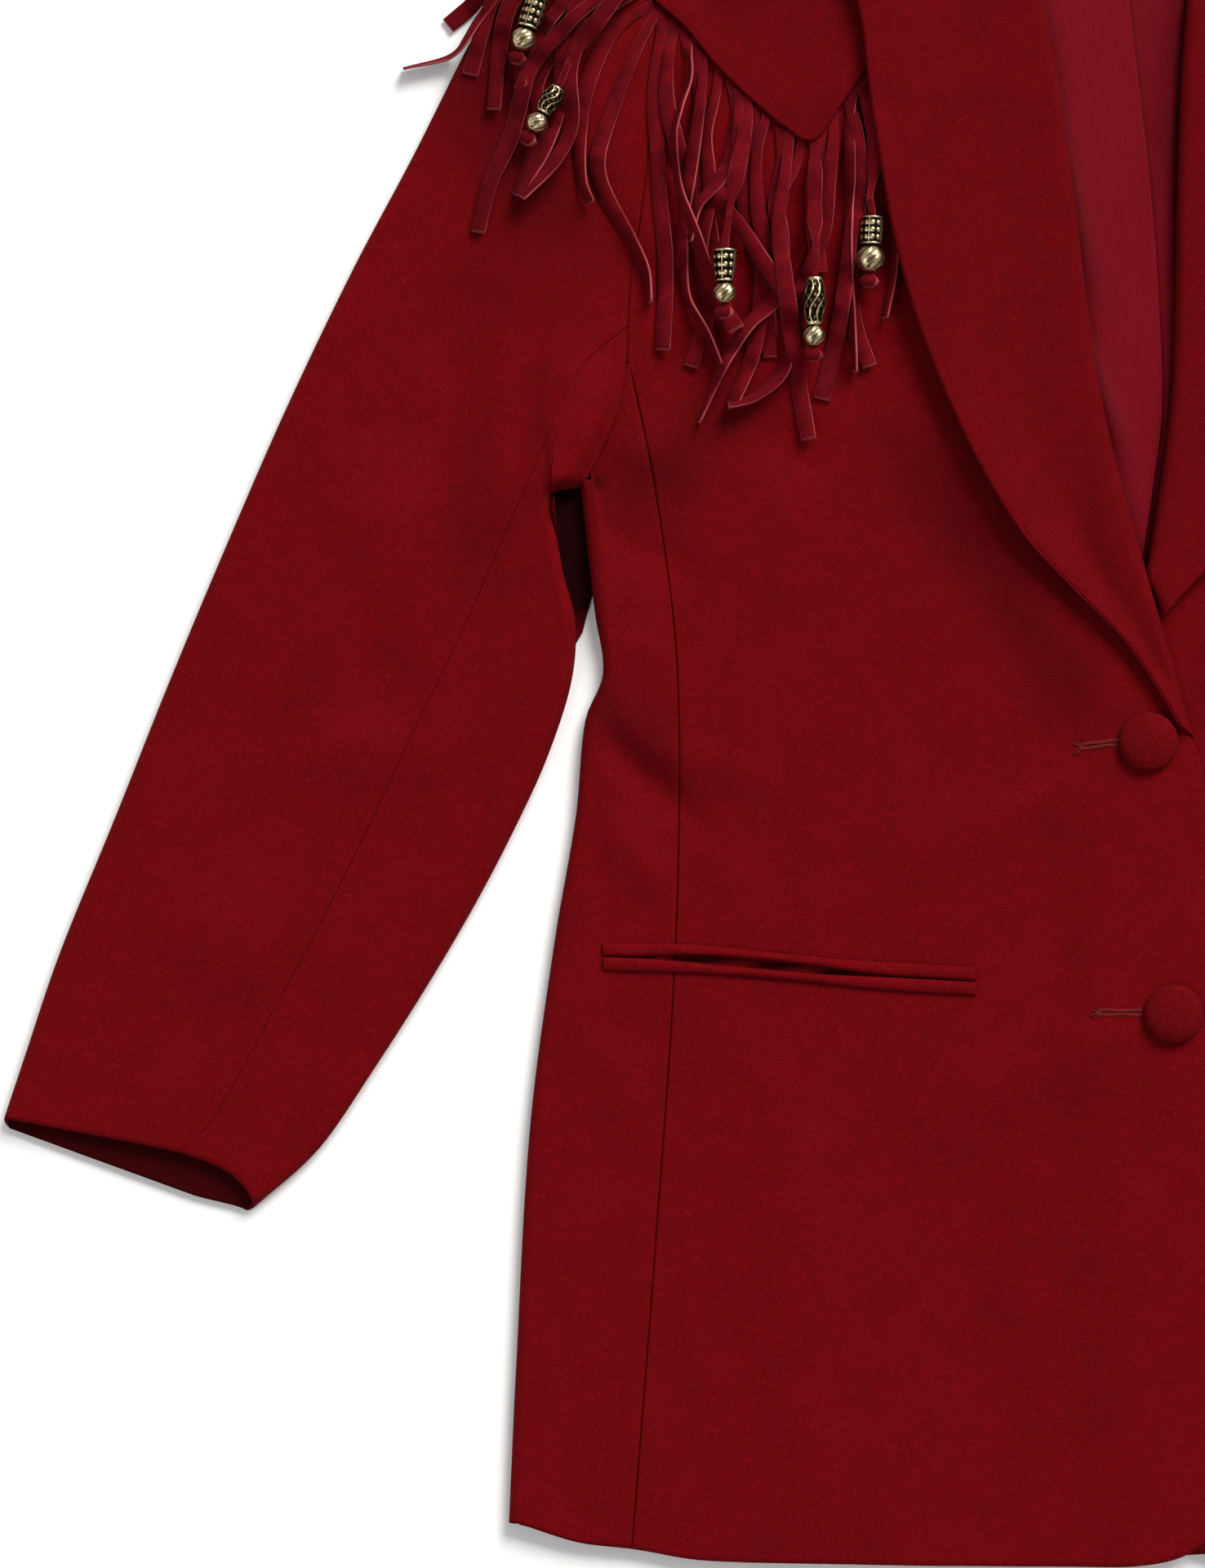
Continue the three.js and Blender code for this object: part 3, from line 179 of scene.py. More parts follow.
def rimDrop(distance, radius):
    # Height lost near an edge whose section is a quarter circle.
    d = np.clip(distance, 0, radius)
    return radius - np.sqrt(np.maximum(radius ** 2 - (radius - d) ** 2, 0))


def rims(*distances):
    # Height lost at several edges of a panel at once.
    return np.minimum(sum(rimDrop(distance, cloth["rim"]) for distance in distances), cloth["rim"])


def eased(count, share=0.85):
    # Values from 0 to 1, closer together at both ends.
    t = np.linspace(0, 1, max(int(count * density), 8))
    return mix(t, (1 - np.cos(np.pi * t)) / 2, share)


def stack(x, y, z):
    # Three grids of numbers as one grid of points.
    return np.stack(np.broadcast_arrays(x, y, z), axis=-1).astype(float)


def foldSum(table, x, y):
    # Each fold is a bell across its line that fades at the line's ends.
    total = np.zeros(np.broadcast(x, y).shape)
    for k in range(len(table["fromX"])):
        dx = table["toX"][k] - table["fromX"][k]
        dy = table["toY"][k] - table["fromY"][k]
        length = np.hypot(dx, dy)
        t = ((x - table["fromX"][k]) * dx + (y - table["fromY"][k]) * dy) / length ** 2
        across = ((x - table["fromX"][k]) * dy - (y - table["fromY"][k]) * dx) / length
        height = table["height"][k] * bell(across, table["width"][k])
        total = total + height * window(t, -0.15, 0.2, 0.6, 1.15)
    return total


def ripple(x, y, size, seed):
    # Sum of a few slow waves in uneven directions, about 1 high, as cloth that was never quite flat.
    waves = np.random.default_rng(seed)
    total = 0
    for _ in range(5):
        angle = waves.uniform(0, np.pi)
        pitch = size * waves.uniform(0.7, 1.6)
        phase = waves.uniform(0, 2 * np.pi)
        total = total + np.sin((x * np.cos(angle) + y * np.sin(angle)) * 2 * np.pi / pitch + phase)
    return total / 3


lapelLine = ("rollX", "rollY", "edgeX", "edgeY", "radius")
rollPlace, edgePlace = (np.stack([lapel[f"{line}X"], lapel[f"{line}Y"]], -1) for line in ("roll", "edge"))
foldPlace = rollPlace + unit(edgePlace - rollPlace) * np.array(lapel["radius"])[:, None]
openEdge = {"y": (-404, -100, -80, *foldPlace[:, 1]), "x": (20, 20, 18, *foldPlace[:, 0])}
rollLine = {"y": (-404, -100, -80, *lapel["rollY"]), "x": (20, 20, 18, *lapel["rollX"])}


def neckLift(x, y):
    # 1 round the neck, where the collar's fall lies under the back.
    return smooth(y, 246, 264) * (1 - smooth(np.abs(x), 152, 188))


def underarmValley(x, y):
    # Soft crease where the sleeve's lower half meets the body, deepest near the underarm.
    share = smooth(104 - y, 0, 50) * smooth(y, 32, 48)
    return valley["depth"] * share * bell(x - xOf(armhole, y), valley["width"])


def hollowShade(points):
    # Painted shade: 1 deep in the hollow between the sleeve and the body, 0 elsewhere.
    x, y, z = points[..., 0], points[..., 1], points[..., 2]
    low = smooth(hollow["top"] - z, 0, hollow["depth"])
    return low * window(y, *hollow["y"]) * window(x, *hollow["x"])


def slotShade(x, y):
    # Painted shade in the pocket's mouth between its welts.
    return pocket["shade"] * bell(y - yOf(pocket, x), 2.4) * window(x, *pocket["dark"])


def frontTop(x, y, overlaps):
    # Outer height of a front: its folds and slow waves, more beside the side, over the left front and
    # round the neck, and less at the shoulder's seam and the underarm's crease.
    edge = np.where(y < station["underarm"], xOf(sideEdge, y), xOf(armhole, y))
    puff = (cloth["sideTop"] - cloth["top"]) * (1 - smooth(x - edge, 4, 34))
    over = smooth(x + xOf(rollLine, y), -30, -4) * (y < 70)
    drop = 1.5 * smooth(y - yOf(shoulder, x), -9, -1)
    rise = cloth["overlap"] * over if overlaps else 0
    slow = 0.5 * ripple(x, y, 95, 3) + 0.14 * ripple(x, y, 34, 12)
    folds = 1.3 * foldSum(bodyFolds, x, y) + slow - underarmValley(x, y)
    return cloth["top"] + puff + rise + folds + cloth["neckRise"] * neckLift(x, y + 14) - drop


def toWorld(points):
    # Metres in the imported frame.
    return (points.reshape(-1, 3) + frameShift) / 1000


def gridQuads(rows, columns, closed=False):
    # Each cell of a grid by its four corners; a closed grid's last column joins its first.
    i, j = np.meshgrid(np.arange(rows - 1), np.arange(columns if closed else columns - 1), indexing="ij")
    k = (j + 1) % columns
    row, following = i * columns, (i + 1) * columns
    return np.stack([row + j, row + k, following + k, following + j], -1).reshape(-1, 4)


def facingOut(points, quads):
    # Turns the faces round if the volume that they close is negative.
    a, b, c, d = (points[quads[:, n]] for n in range(4))
    volume = np.einsum("ij,ij->", a, np.cross(b, c)) + np.einsum("ij,ij->", a, np.cross(c, d))
    return quads if volume > 0 else quads[:, ::-1]


def addPiece(name, points, quads, material, nodes, slot, values=None):
    # Makes the object, lets it ride on the body and stand for its solids.
    world = toWorld(points)
    faces = facingOut(world, quads)
    mesh = bpy.data.meshes.new(name)
    mesh.from_pydata(world.tolist(), [], faces.tolist())
    mesh.polygons.foreach_set("use_smooth", np.ones(len(mesh.polygons), bool))
    for key, data in (values or {}).items():
        column = mesh.attributes.new(key, "FLOAT", "POINT").data
        column.foreach_set("value", np.asarray(data, np.float32).ravel())
    mesh.materials.append(material)
    piece = bpy.data.objects.new(name, mesh)
    bpy.context.scene.collection.objects.link(piece)
    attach(piece, "root")
    if nodes:
        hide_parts(*nodes)
    return piece


def bothSides(points):
    # Right and left, which is the mirror.
    return [("right", points), ("left", points * (-1, 1, 1))]


def wallFaces(rows, columns):
    # Quads of a closed wall: outer grid, inner grid and the four strips round its rim.
    top = gridQuads(rows, columns)
    back = rows * columns
    first = np.arange(columns)
    rim = np.concatenate([
        first[:-1], np.arange(rows - 1) * columns + columns - 1,
        (rows - 1) * columns + first[:0:-1], np.arange(rows - 1, 0, -1) * columns])
    following = np.roll(rim, -1)
    sides = np.stack([rim, rim + back, following + back, following], -1)
    return np.concatenate([top, top[:, ::-1] + back, sides])


def colour(code):
    # sRGB hex to linear light.
    parts = [int(code[k:k + 2], 16) / 255 for k in (0, 2, 4)]
    return (*[p / 12.92 if p <= 0.04045 else ((p + 0.055) / 1.055) ** 2.4 for p in parts], 1.0)


def addNode(tree, kind, inputs, out=0, **settings):
    # Adds a node with its settings, sets or links its inputs, and gives one of its outputs.
    node = tree.nodes.new(f"ShaderNode{kind}")
    for key, value in settings.items():
        setattr(node, key, value)
    for key, value in inputs.items():
        if isinstance(value, bpy.types.NodeSocket):
            tree.links.new(value, node.inputs[key])
        else:
            node.inputs[key].default_value = value
    return node.outputs[out] if node.outputs else None


def perMetre(millimetres):
    return 1000 / millimetres


def startMaterial(name, settings):
    # Its patterns: noise by spacing in millimetres, detail, roughness and distortion, and the marks that
    # the piece itself carries.
    material = bpy.data.materials.new(name)
    material.use_nodes = True
    tree = material.node_tree
    tree.nodes.clear()
    place = addNode(tree, "TexCoord", {}, out="Object")
    if "stretch" in settings:
        place = addNode(tree, "Mapping", {"Vector": place, "Scale": settings["stretch"]})
    patterns = {"place": place}
    for key, (spacing, detail, roughness, distortion) in settings["noise"].items():
        patterns[key] = addNode(tree, "TexNoise", {
            "Vector": place, "Scale": perMetre(spacing), "Detail": detail, "Roughness": roughness,
            "Distortion": distortion})
    for key in settings.get("marks", ()):
        patterns[key] = addNode(tree, "Attribute", {}, out="Fac", attribute_name=key)
    return material, tree, patterns


def finishMaterial(material, tree, patterns, settings, **inputs):
    # Over the first colour lie layers: a pattern, the values where it begins and is full, its most cover
    # and its colour. bump is strength, distance in metres and the pattern that is raised.
    tone = colour(settings["under"])
    for pattern, low, high, most, key in settings["layers"]:
        cover = addNode(tree, "MapRange", {
            "Value": patterns[pattern], "From Min": low, "From Max": high, "To Max": most})
        tone = addNode(tree, "Mix", {0: cover, 6: tone, 7: colour(settings[key])}, out=2, data_type="RGBA")
    shader = {key: colour(value) if isinstance(value, str) else value
              for key, value in {**settings["shader"], **inputs, "Base Color": tone}.items()}
    if "bump" in settings:
        strength, depth, height = settings["bump"]
        shader["Normal"] = addNode(tree, "Bump", {
            "Strength": strength, "Distance": depth, "Height": patterns[height]})
    addNode(tree, "OutputMaterial", {"Surface": addNode(tree, "BsdfPrincipled", shader)})
    return material


# Wool flannel, fulled and brushed: fibres hide the twill, so it is matte with a soft red edge light.
wool = {
    # hollow is the colour of the painted shade that the shade mark lays on the wool.
    "under": "5d0307", "base": "67030a", "light": "790911", "dark": "4c0306", "hollow": "1c0102",
    "noise": {"nap": (0.8, 3.0, 0.65, 0.0), "mottle": (16.0, 5.0, 0.6, 0.0), "fibre": (1.8, 4.0, 0.75, 1.4)},
    "twill": 1.25, "slant": 62, "marks": ["shade"],  # the twill's spacing in millimetres and its degrees
    "layers": [("mottle", 0.32, 0.68, 1.0, "base"), ("fibre", 0.48, 0.74, 1.0, "light"),
               ("grain", 0.62, 0.4, 0.75, "dark"), ("shade", 0.0, 1.0, 1.0, "hollow")],
    "bump": (0.75, 0.0005, "grain"),
    "shader": {"Roughness": 0.97, "Specular IOR Level": 0.06, "IOR": 1.5, "Sheen Weight": 0.08,
               "Sheen Roughness": 0.5, "Sheen Tint": "b01a22"},
}
# The buttons' flannel is the same wool in darker colours, which is painted shade.
buttonWool = {**wool, "under": "550307", "base": "5d0408", "bump": (0.65, 0.0005, "grain")}
# Split suede, dyed through: a dusty wine face with darker handling marks and pale pink cut edges.
suede = {
    # hollow is the colour of the painted shade that the shade mark lays on the suede.
    "under": "50060d", "base": "680912", "bloom": "751320", "hollow": "1c0203", "raw": "a04a4c",
    "noise": {"nap": (0.7, 4.0, 0.7, 0.0), "handled": (9.0, 4.0, 0.6, 0.6)},
    "marks": ["rawEdge", "shade"],
    "layers": [("handled", 0.35, 0.65, 1.0, "base"), ("nap", 0.52, 0.8, 1.0, "bloom"),
               ("shade", 0.0, 1.0, 1.0, "hollow"), ("rawEdge", 0.38, 0.9, 0.95, "raw")],
    "bump": (0.45, 0.0004, "nap"),
    "shader": {"Roughness": 1.0, "Specular IOR Level": 0.05, "Sheen Weight": 0.18,
               "Sheen Roughness": 0.45, "Sheen Tint": "a8303c"},
}
# Acetate satin lining: long floats one way give a soft, stretched highlight.
satin = {
    # hollow is the colour of the painted shade that the shade mark lays on the satin.
    "under": "630c15", "base": "6f0f19", "hollow": "240205",
    "noise": {"floats": (0.5, 3.0, 0.6, 0.0)}, "stretch": (1.0, 0.08, 1.0), "marks": ["shade"],
    "layers": [("floats", 0.35, 0.65, 1.0, "base"), ("shade", 0.0, 1.0, 1.0, "hollow")],
    "bump": (0.15, 0.0002, "floats"),
    "shader": {"Roughness": 0.45, "Specular IOR Level": 0.12, "Specular Tint": "e06068",
               "Sheen Weight": 0.1, "Sheen Roughness": 0.3, "Sheen Tint": "b03038"},
}
# Cast brass with an antique wash: dark patina stays in the relief and the high places are rubbed bright.
brass = {
    "under": "1c140b", "bright": "dcc79a", "noise": {"grain": (0.35, 3.0, 0.6, 0.0)}, "marks": ["relief"],
    "layers": [("worn", 0.62, 1.05, 1.0, "bright")], "dull": 0.55, "polished": 0.24,
    "bump": (0.3, 0.0002, "grain"), "shader": {"Metallic": 1.0},
}
# Buttonhole silk: a twisted thread, darker where its turns lie close.
silk = {
    "under": "3c0606", "base": "84201e", "noise": {"twist": (0.5, 2.0, 0.5, 0.0)},
    "layers": [("twist", 0.0, 1.0, 1.0, "base")],
    "shader": {"Roughness": 0.8, "Specular IOR Level": 0.15, "Sheen Weight": 0.05},
}


def plainMaterial(name, settings):
    return finishMaterial(*startMaterial(name, settings), settings)


def woolMaterial(name, settings):
    # The grain is a slanted wave, the twill, with the nap over it.
    material, tree, patterns = startMaterial(name, settings)
    turned = addNode(tree, "Mapping", {
        "Vector": patterns["place"], "Rotation": (0.0, 0.0, np.radians(settings["slant"]))})
    twill = addNode(tree, "TexWave", {
        "Vector": turned, "Scale": 0.314 * perMetre(settings["twill"]), "Distortion": 1.2,
        "Detail": 2.0, "Detail Scale": 3.0}, out="Fac", wave_type="BANDS", bands_direction="X")
    grain = addNode(tree, "Math", {0: twill, 1: 0.3, 2: patterns["nap"]}, operation="MULTIPLY_ADD")
    return finishMaterial(material, tree, {**patterns, "grain": grain}, settings)


def brassMaterial(name, settings):
    # Wear is the relief with a little grain, and it polishes what it brightens.
    material, tree, patterns = startMaterial(name, settings)
    worn = addNode(tree, "Math", {
        0: patterns["grain"], 1: 0.5, 2: patterns["relief"]}, operation="MULTIPLY_ADD")
    low, high = settings["layers"][0][1:3]
    roughness = addNode(tree, "MapRange", {
        "Value": worn, "From Min": low, "From Max": high, "To Min": settings["dull"],
        "To Max": settings["polished"]})
    return finishMaterial(material, tree, {**patterns, "worn": worn}, settings, Roughness=roughness)


woolCloth = woolMaterial("wool_flannel", wool)
buttonCloth = woolMaterial("wool_flannel_button", buttonWool)
suedeFringe = plainMaterial("split_suede", suede)
satinLining = plainMaterial("acetate_satin", satin)
castBrass = brassMaterial("antique_brass", brass)
holeThread = plainMaterial("buttonhole_silk", silk)
print("materials made")


def addWall(name, grids, sides=("right", "left"), finish=(woolCloth, "wool"),
            shade=(0, 0), tones=None):
    # One cloth panel for each side, between its outer and inner grid; the left one is the mirror. shade is
    # how much painted shade its two faces get, and tones the same painted shade place by place.
    outer, inner = grids
    rows, columns = outer.shape[:2]
    points = np.concatenate([outer.reshape(-1, 3), inner.reshape(-1, 3)])
    x, y = points[:, 0], points[:, 1]
    # Painted shade: nap is that of the strokes, kept off the lapels, or the given tones; deep is that in the
    # underarm hollow and the pocket's mouth; shade is that of each face as a whole.
    nap = np.clip(foldSum(paintedShadeStrokes, x, y), 0, 0.5) * (name != "lapel")
    if tones is not None:
        nap = np.tile(tones.ravel(), 2)
    deep = np.maximum(hollowShade(points), slotShade(x, y) * (name in ("front", "side")))
    values = {"shade": np.maximum(deep, nap + np.repeat(shade, rows * columns))}
    quads = wallFaces(rows, columns)
    for side in sides:
        place = points * (-1, 1, 1) if side == "left" else points
        full = f"{name}_{side}" if side else name
        piece = addPiece(f"cloth_{full}", place, quads, finish[0], [full], finish[1], values)


def seamGap(y):
    # The seams' gap, closed at the hem.
    return cloth["gap"] * smooth(y, -386, -380)


def frontGrids(overlaps):
    # x runs from the princess seam or armhole to the open edge, y from the hem to the shoulder.
    u = eased(150)[None, :]
    level = mix(station["hem"], station["shoulder"], eased(300, 0.6))[:, None]

    def leftLine(y):
        return mix(xOf(princess, y), xOf(armhole, y), smooth(y, 86, 96)) + seamGap(y)

    def rightLine(y):
        return xOf(openEdge, y) - 0.4 - smooth(y, 290, 310)

    firstX = mix(leftLine(level), rightLine(level), u)
    hemDrop = (yOf(hemLine, firstX) - station["hem"]) * (1 - smooth(level, station["hem"], -330))
    climb = smooth(level, 200, station["shoulder"]) * (yOf(shoulder, firstX) - station["shoulder"])
    y = level + hemDrop + climb
    left = leftLine(np.minimum(y, station["shoulder"]))
    right = rightLine(y)
    x = mix(left, right, u)
    drop = rims(x - left, right - x, y - yOf(hemLine, x), yOf(shoulder, x) - y)
    bed = frontTop(x, y, overlaps)
    start, end = pocket["fromX"], pocket["toX"]
    carve = 2.1 * bell(y - yOf(pocket, x), 1.9) * window(x, start, start + 4, end - 4, end)
    return stack(x, y, bed - drop - carve), stack(x, y, bed - cloth["wall"] + drop)


sideUnder = {"y": (-374, -200, -40, 10, 42), "x": (34, 32, 26, 16, 9)}


def sideGrids():
    # u runs over the top to the fold, round it and back under to the seam with the back.
    v = eased(170, 0.5)[:, None]
    foldY = mix(station["sideHem"], 45.5, v)
    princessY = mix(station["hem"], station["princess"], v)
    radius = cloth["sideTop"] / 2 + 1.3 * bell(foldY - 12, 30)
    u = eased(44)[None, :]
    straight = mix(station["hem"], station["sideHem"], u)
    hemBow = (yOf(hemLine, mix(-228, -277, u)) - straight) * (1 - smooth(v, 0, 0.12))
    y = mix(princessY, foldY, u) + hemBow
    seamLineX = xOf(princess, y) - seamGap(y)
    foldX = xOf(sideEdge, y) + radius
    armX = np.maximum(xOf(armhole, y) + cloth["gap"], foldX)
    x = mix(seamLineX, mix(foldX, armX, smooth(y, 30, 44)), u)
    x = mix(x, np.minimum(armX, seamLineX), smooth(v, 0.8, 1) * smooth(u, 0, 0.06))
    drop = rimDrop(seamLineX - x, cloth["rim"]) * (1 - smooth(v, 0.97, 1))
    drop = np.minimum(drop + rimDrop(y - yOf(hemLine, x), cloth["rim"]) * (v < 0.1), cloth["rim"])
    bed = mix(frontTop(x, y, False), 2 * radius, smooth(u, 0.6, 1))
    top, topInner = stack(x, y, bed - drop), stack(x, y, bed - cloth["wall"] + drop)
    angle = np.radians(np.linspace(80, -85, 14))[None, :]
    centre = xOf(sideEdge, foldY) + radius

    def turn(depth):
        r = radius - depth
        return stack(centre - r * np.cos(angle), foldY, radius + r * np.sin(angle))

    w = np.linspace(0, 1, 12)[None, :]
    underX = mix(centre, xOf(sideEdge, foldY) + xOf(sideUnder, foldY), w)
    lift = rimDrop((1 - w) * 20, 0.9)
    underY = foldY + (yOf(hemLine, underX) + 2.0 * w - station["sideHem"]) * (1 - smooth(v, 0, 0.1))
    under, underInner = stack(underX, underY, lift), stack(underX, underY, cloth["wall"] - lift)
    return (np.concatenate([top, turn(0), under], 1),
            np.concatenate([topInner, turn(cloth["wall"]), underInner], 1))


def backGrids():
    # From one side's seam to the other's, and from the hem to the shoulders and the neck's line.
    v = eased(110, 0.5)[:, None]
    u = mix(-1, 1, eased(90, 0.4))[None, :]
    level = mix(station["sideHem"], station["shoulder"], v)
    seam = xOf(sideEdge, level) + xOf(sideUnder, level)
    side = mix(seam + 0.3, xOf(armhole, level) + 0.1, smooth(level, 42, 60))
    across = -np.abs(u) * 190
    topLine = np.where(across > shoulder["x"][-1], yOf(backNeck, across), yOf(shoulder, across))
    x = -u * side
    hem = yOf(hemLine, np.minimum(-np.abs(x), -30)) + 2.0 - station["sideHem"]
    y = level + hem * (1 - smooth(level, station["sideHem"], -313))
    y = y + smooth(level, 262, station["shoulder"]) * (topLine - station["shoulder"])
    z = cloth["wall"] + cloth["neckRise"] * neckLift(u * 190, y)
    drop = rims((1 - np.abs(u)) * 190, (1 - v) * 500, v * 500)
    return stack(x, y, z - drop), stack(x, y, z - cloth["wall"] + drop)


def liningGrids():
    # A sheet in the open neck with a lapped pleat beside its middle and two slack folds, and the painted
    # shade on it.
    v = eased(130, 0.3)[:, None]
    u = mix(-1, 1, eased(90, 0))[None, :]
    y = mix(-24, 299, v)
    half = mix(20, 60, smooth(v, 0, 1))
    pleatX = curve((-24, 0, 30, 62, 115, 161, 228, 299), (-6, -1, 5, 10.2, 11.5, 10, 6, 3), y)
    # The columns follow the pleat and lie closest beside it.
    x = pleatX + (np.sign(u) * half - pleatX) * np.abs(u) ** 1.6
    lap = 2.3 * (1 - smooth(x - pleatX, -0.3, 0.6)) * np.exp(-np.maximum(pleatX - x, 0) / 26)
    slack = {"fromX": (-22, 24, -34, 30), "fromY": (92, 120, 190, 240), "toX": (-4, 8, -12, 14),
             "toY": (40, 20, 100, 150), "width": (3.5, 5, 6, 7), "height": (2.6, 2.2, 2.4, 2.0)}
    z = 3.9 + lap + foldSum(slack, x, y) + 0.4 * ripple(x, y, 60, 9)
    z = np.maximum(z + cloth["neckRise"] * neckLift(0 * x, y + 4), 3.6)
    # Painted shade: the layer under the pleat is darker, most of all beside the pleat's edge, and there is a
    # painted shadow beside each lapel's roll line and a little painted shade in the slack folds.
    under = 0.22 * smooth(x - pleatX, -0.3, 0.5) + 0.34 * bell(x - pleatX - 0.6, 0.7)
    roll = curve(lapel["rollY"], lapel["rollX"], y)
    under = under + 0.55 * np.exp(-np.maximum(np.minimum(x - roll, -roll - x), 0) / 1.5)
    liningPaintedShade = np.clip(under + 0.16 * foldSum(slack, x - 3, y + 2), 0, 0.8)
    return (stack(x, y, z), stack(x, y, z - 0.9)), liningPaintedShade


satinSheet, satinPaintedShade = liningGrids()
rightFront = frontGrids(True)
sidePanel = sideGrids()
addWall("front", rightFront, sides=("right",))
addWall("front", frontGrids(False), sides=("left",))
addWall("side", sidePanel)
addWall("back", backGrids(), sides=("",))
addWall("lining", satinSheet, sides=("",), finish=(satinLining, "satin"),
        tones=satinPaintedShade)
print("body made")


# Sleeve: a tube pressed flat, by sections from the armhole to the cuff.
sleeve = {
    "outX": (-190, -214, -241, -262, -287, -314, -344, -372, -397, -421, -446, -462, -472),
    "outY": (290, 281, 258, 224, 180, 135, 80, 24, -28, -80, -133, -173, -199),
    "inX": (-226, -238, -236.5, -234.5, -231, -234, -245, -259, -276, -297, -322, -346, -373),
    "inY": (43, 40, 24, 8, -12, -36, -65, -92, -121, -153, -188, -219, -241),
    "seam": (0.75, 0.795, 0.829, 0.777, 0.712, 0.68, 0.67, 0.66, 0.66, 0.66, 0.66, 0.66, 0.66),
    "mid": (8.0, 8.4, 8.6, 8.5, 8.2, 7.8, 7.5, 7.3, 7.2, 7.4, 7.8, 8.2, 8.4),
    "pull": (1, 0.78, 0.06, 0, 0, 0, 0, 0, 0, 0, 0, 0, 0),
    "tuck": (0, 12.2, 12.0, 12.3, 3.6, 0, 0, 0, 0, 0, 0, 0, 0),  # how far the underside reaches to the body
    "puff": (0, 2.2, 2.4, 1.6, 0.6, 0, 0, 0, 0, 0, 0, 0, 0),  # extra radius of the inner fold
}
endPlace, elbowPlace = (np.array([sleeve["outX"][k] + sleeve["inX"][k], sleeve["outY"][k] + sleeve["inY"][k]])
                        for k in (-1, -3))
sleeveDown = unit(endPlace - elbowPlace)
# shade is the painted shade on the sleeves' inner faces, seen in the cuff's mouth.
cuff = {"step": 4.5, "bow": 17.0, "shade": 0.8}
bulging = {"height": 5.0, "from": 112.0, "round": 9.0, "reach": 42.0}  # the sleeve's roll over the underarm
backSeam = 0.45
# Folds of the sleeve's top, mostly slanting from the underarm and across the elbow.
sleeveFolds = {
    "fromX": (-214, -212, -240, -262, -300, -330, -262, -280, -410, -352, -240, -222),
    "fromY": (92, 62, 180, 130, 60, 30, -60, -20, -110, -150, 120, 24),
    "toX": (-262, -268, -262, -300, -352, -300, -352, -300, -352, -420, -252, -262),
    "toY": (30, -12, 90, 30, -40, -60, -60, -80, -160, -182, 40, 4),
    "width": (9, 11, 15, 18, 20, 16, 14, 10, 16, 14, 8, 7),
    "height": (2.2, -2.0, 1.9, -2.2, 2.2, -1.7, 1.9, 1.5, 1.7, -1.3, -1.4, 1.6),
}


def sleevePlan(s, t):
    # From the outer edge at t = 0 to the inner one at 1, drawn to the armhole's own line at the top.
    part = sectionsAt(sleeve, s)
    own = xOf(armhole, mix(station["shoulder"], 43, t)) + 0.2
    # Beside the fold the rows keep to their own line, so that none reaches past it.
    held = smooth(t, 0.76, 0.95) * smooth(s, 0.8, 1.6)
    pull = (own - mix(station["shoulderX"], station["underarmX"], t)) * part["pull"] * (1 - held)
    return mix(part["outX"], part["inX"], t) + pull, mix(part["outY"], part["inY"], t)


def slid(x, y, z, far):
    # Places moved down the sleeve.
    return stack(x + sleeveDown[0] * far, y + sleeveDown[1] * far, z)


def edgeDistance(x, y, lineX, lineY):
    # Shortest distance from each place to the points of a line, four for each of its own.
    own = np.arange(lineX.size)
    close = np.linspace(0, lineX.size - 1, lineX.size * 4)
    shortest = np.full(x.shape, 1e6)
    for px, py in zip(np.interp(close, own, lineX.ravel()), np.interp(close, own, lineY.ravel())):
        shortest = np.minimum(shortest, (x - px) ** 2 + (y - py) ** 2)
    return np.sqrt(shortest)


def quarterRound(distance, radius):
    # 0 at an edge and 1 from the radius inwards, along a quarter circle.
    d = np.clip(distance, 0, radius) / radius
    return np.sqrt(np.clip(1 - (1 - d) ** 2, 0, 1))


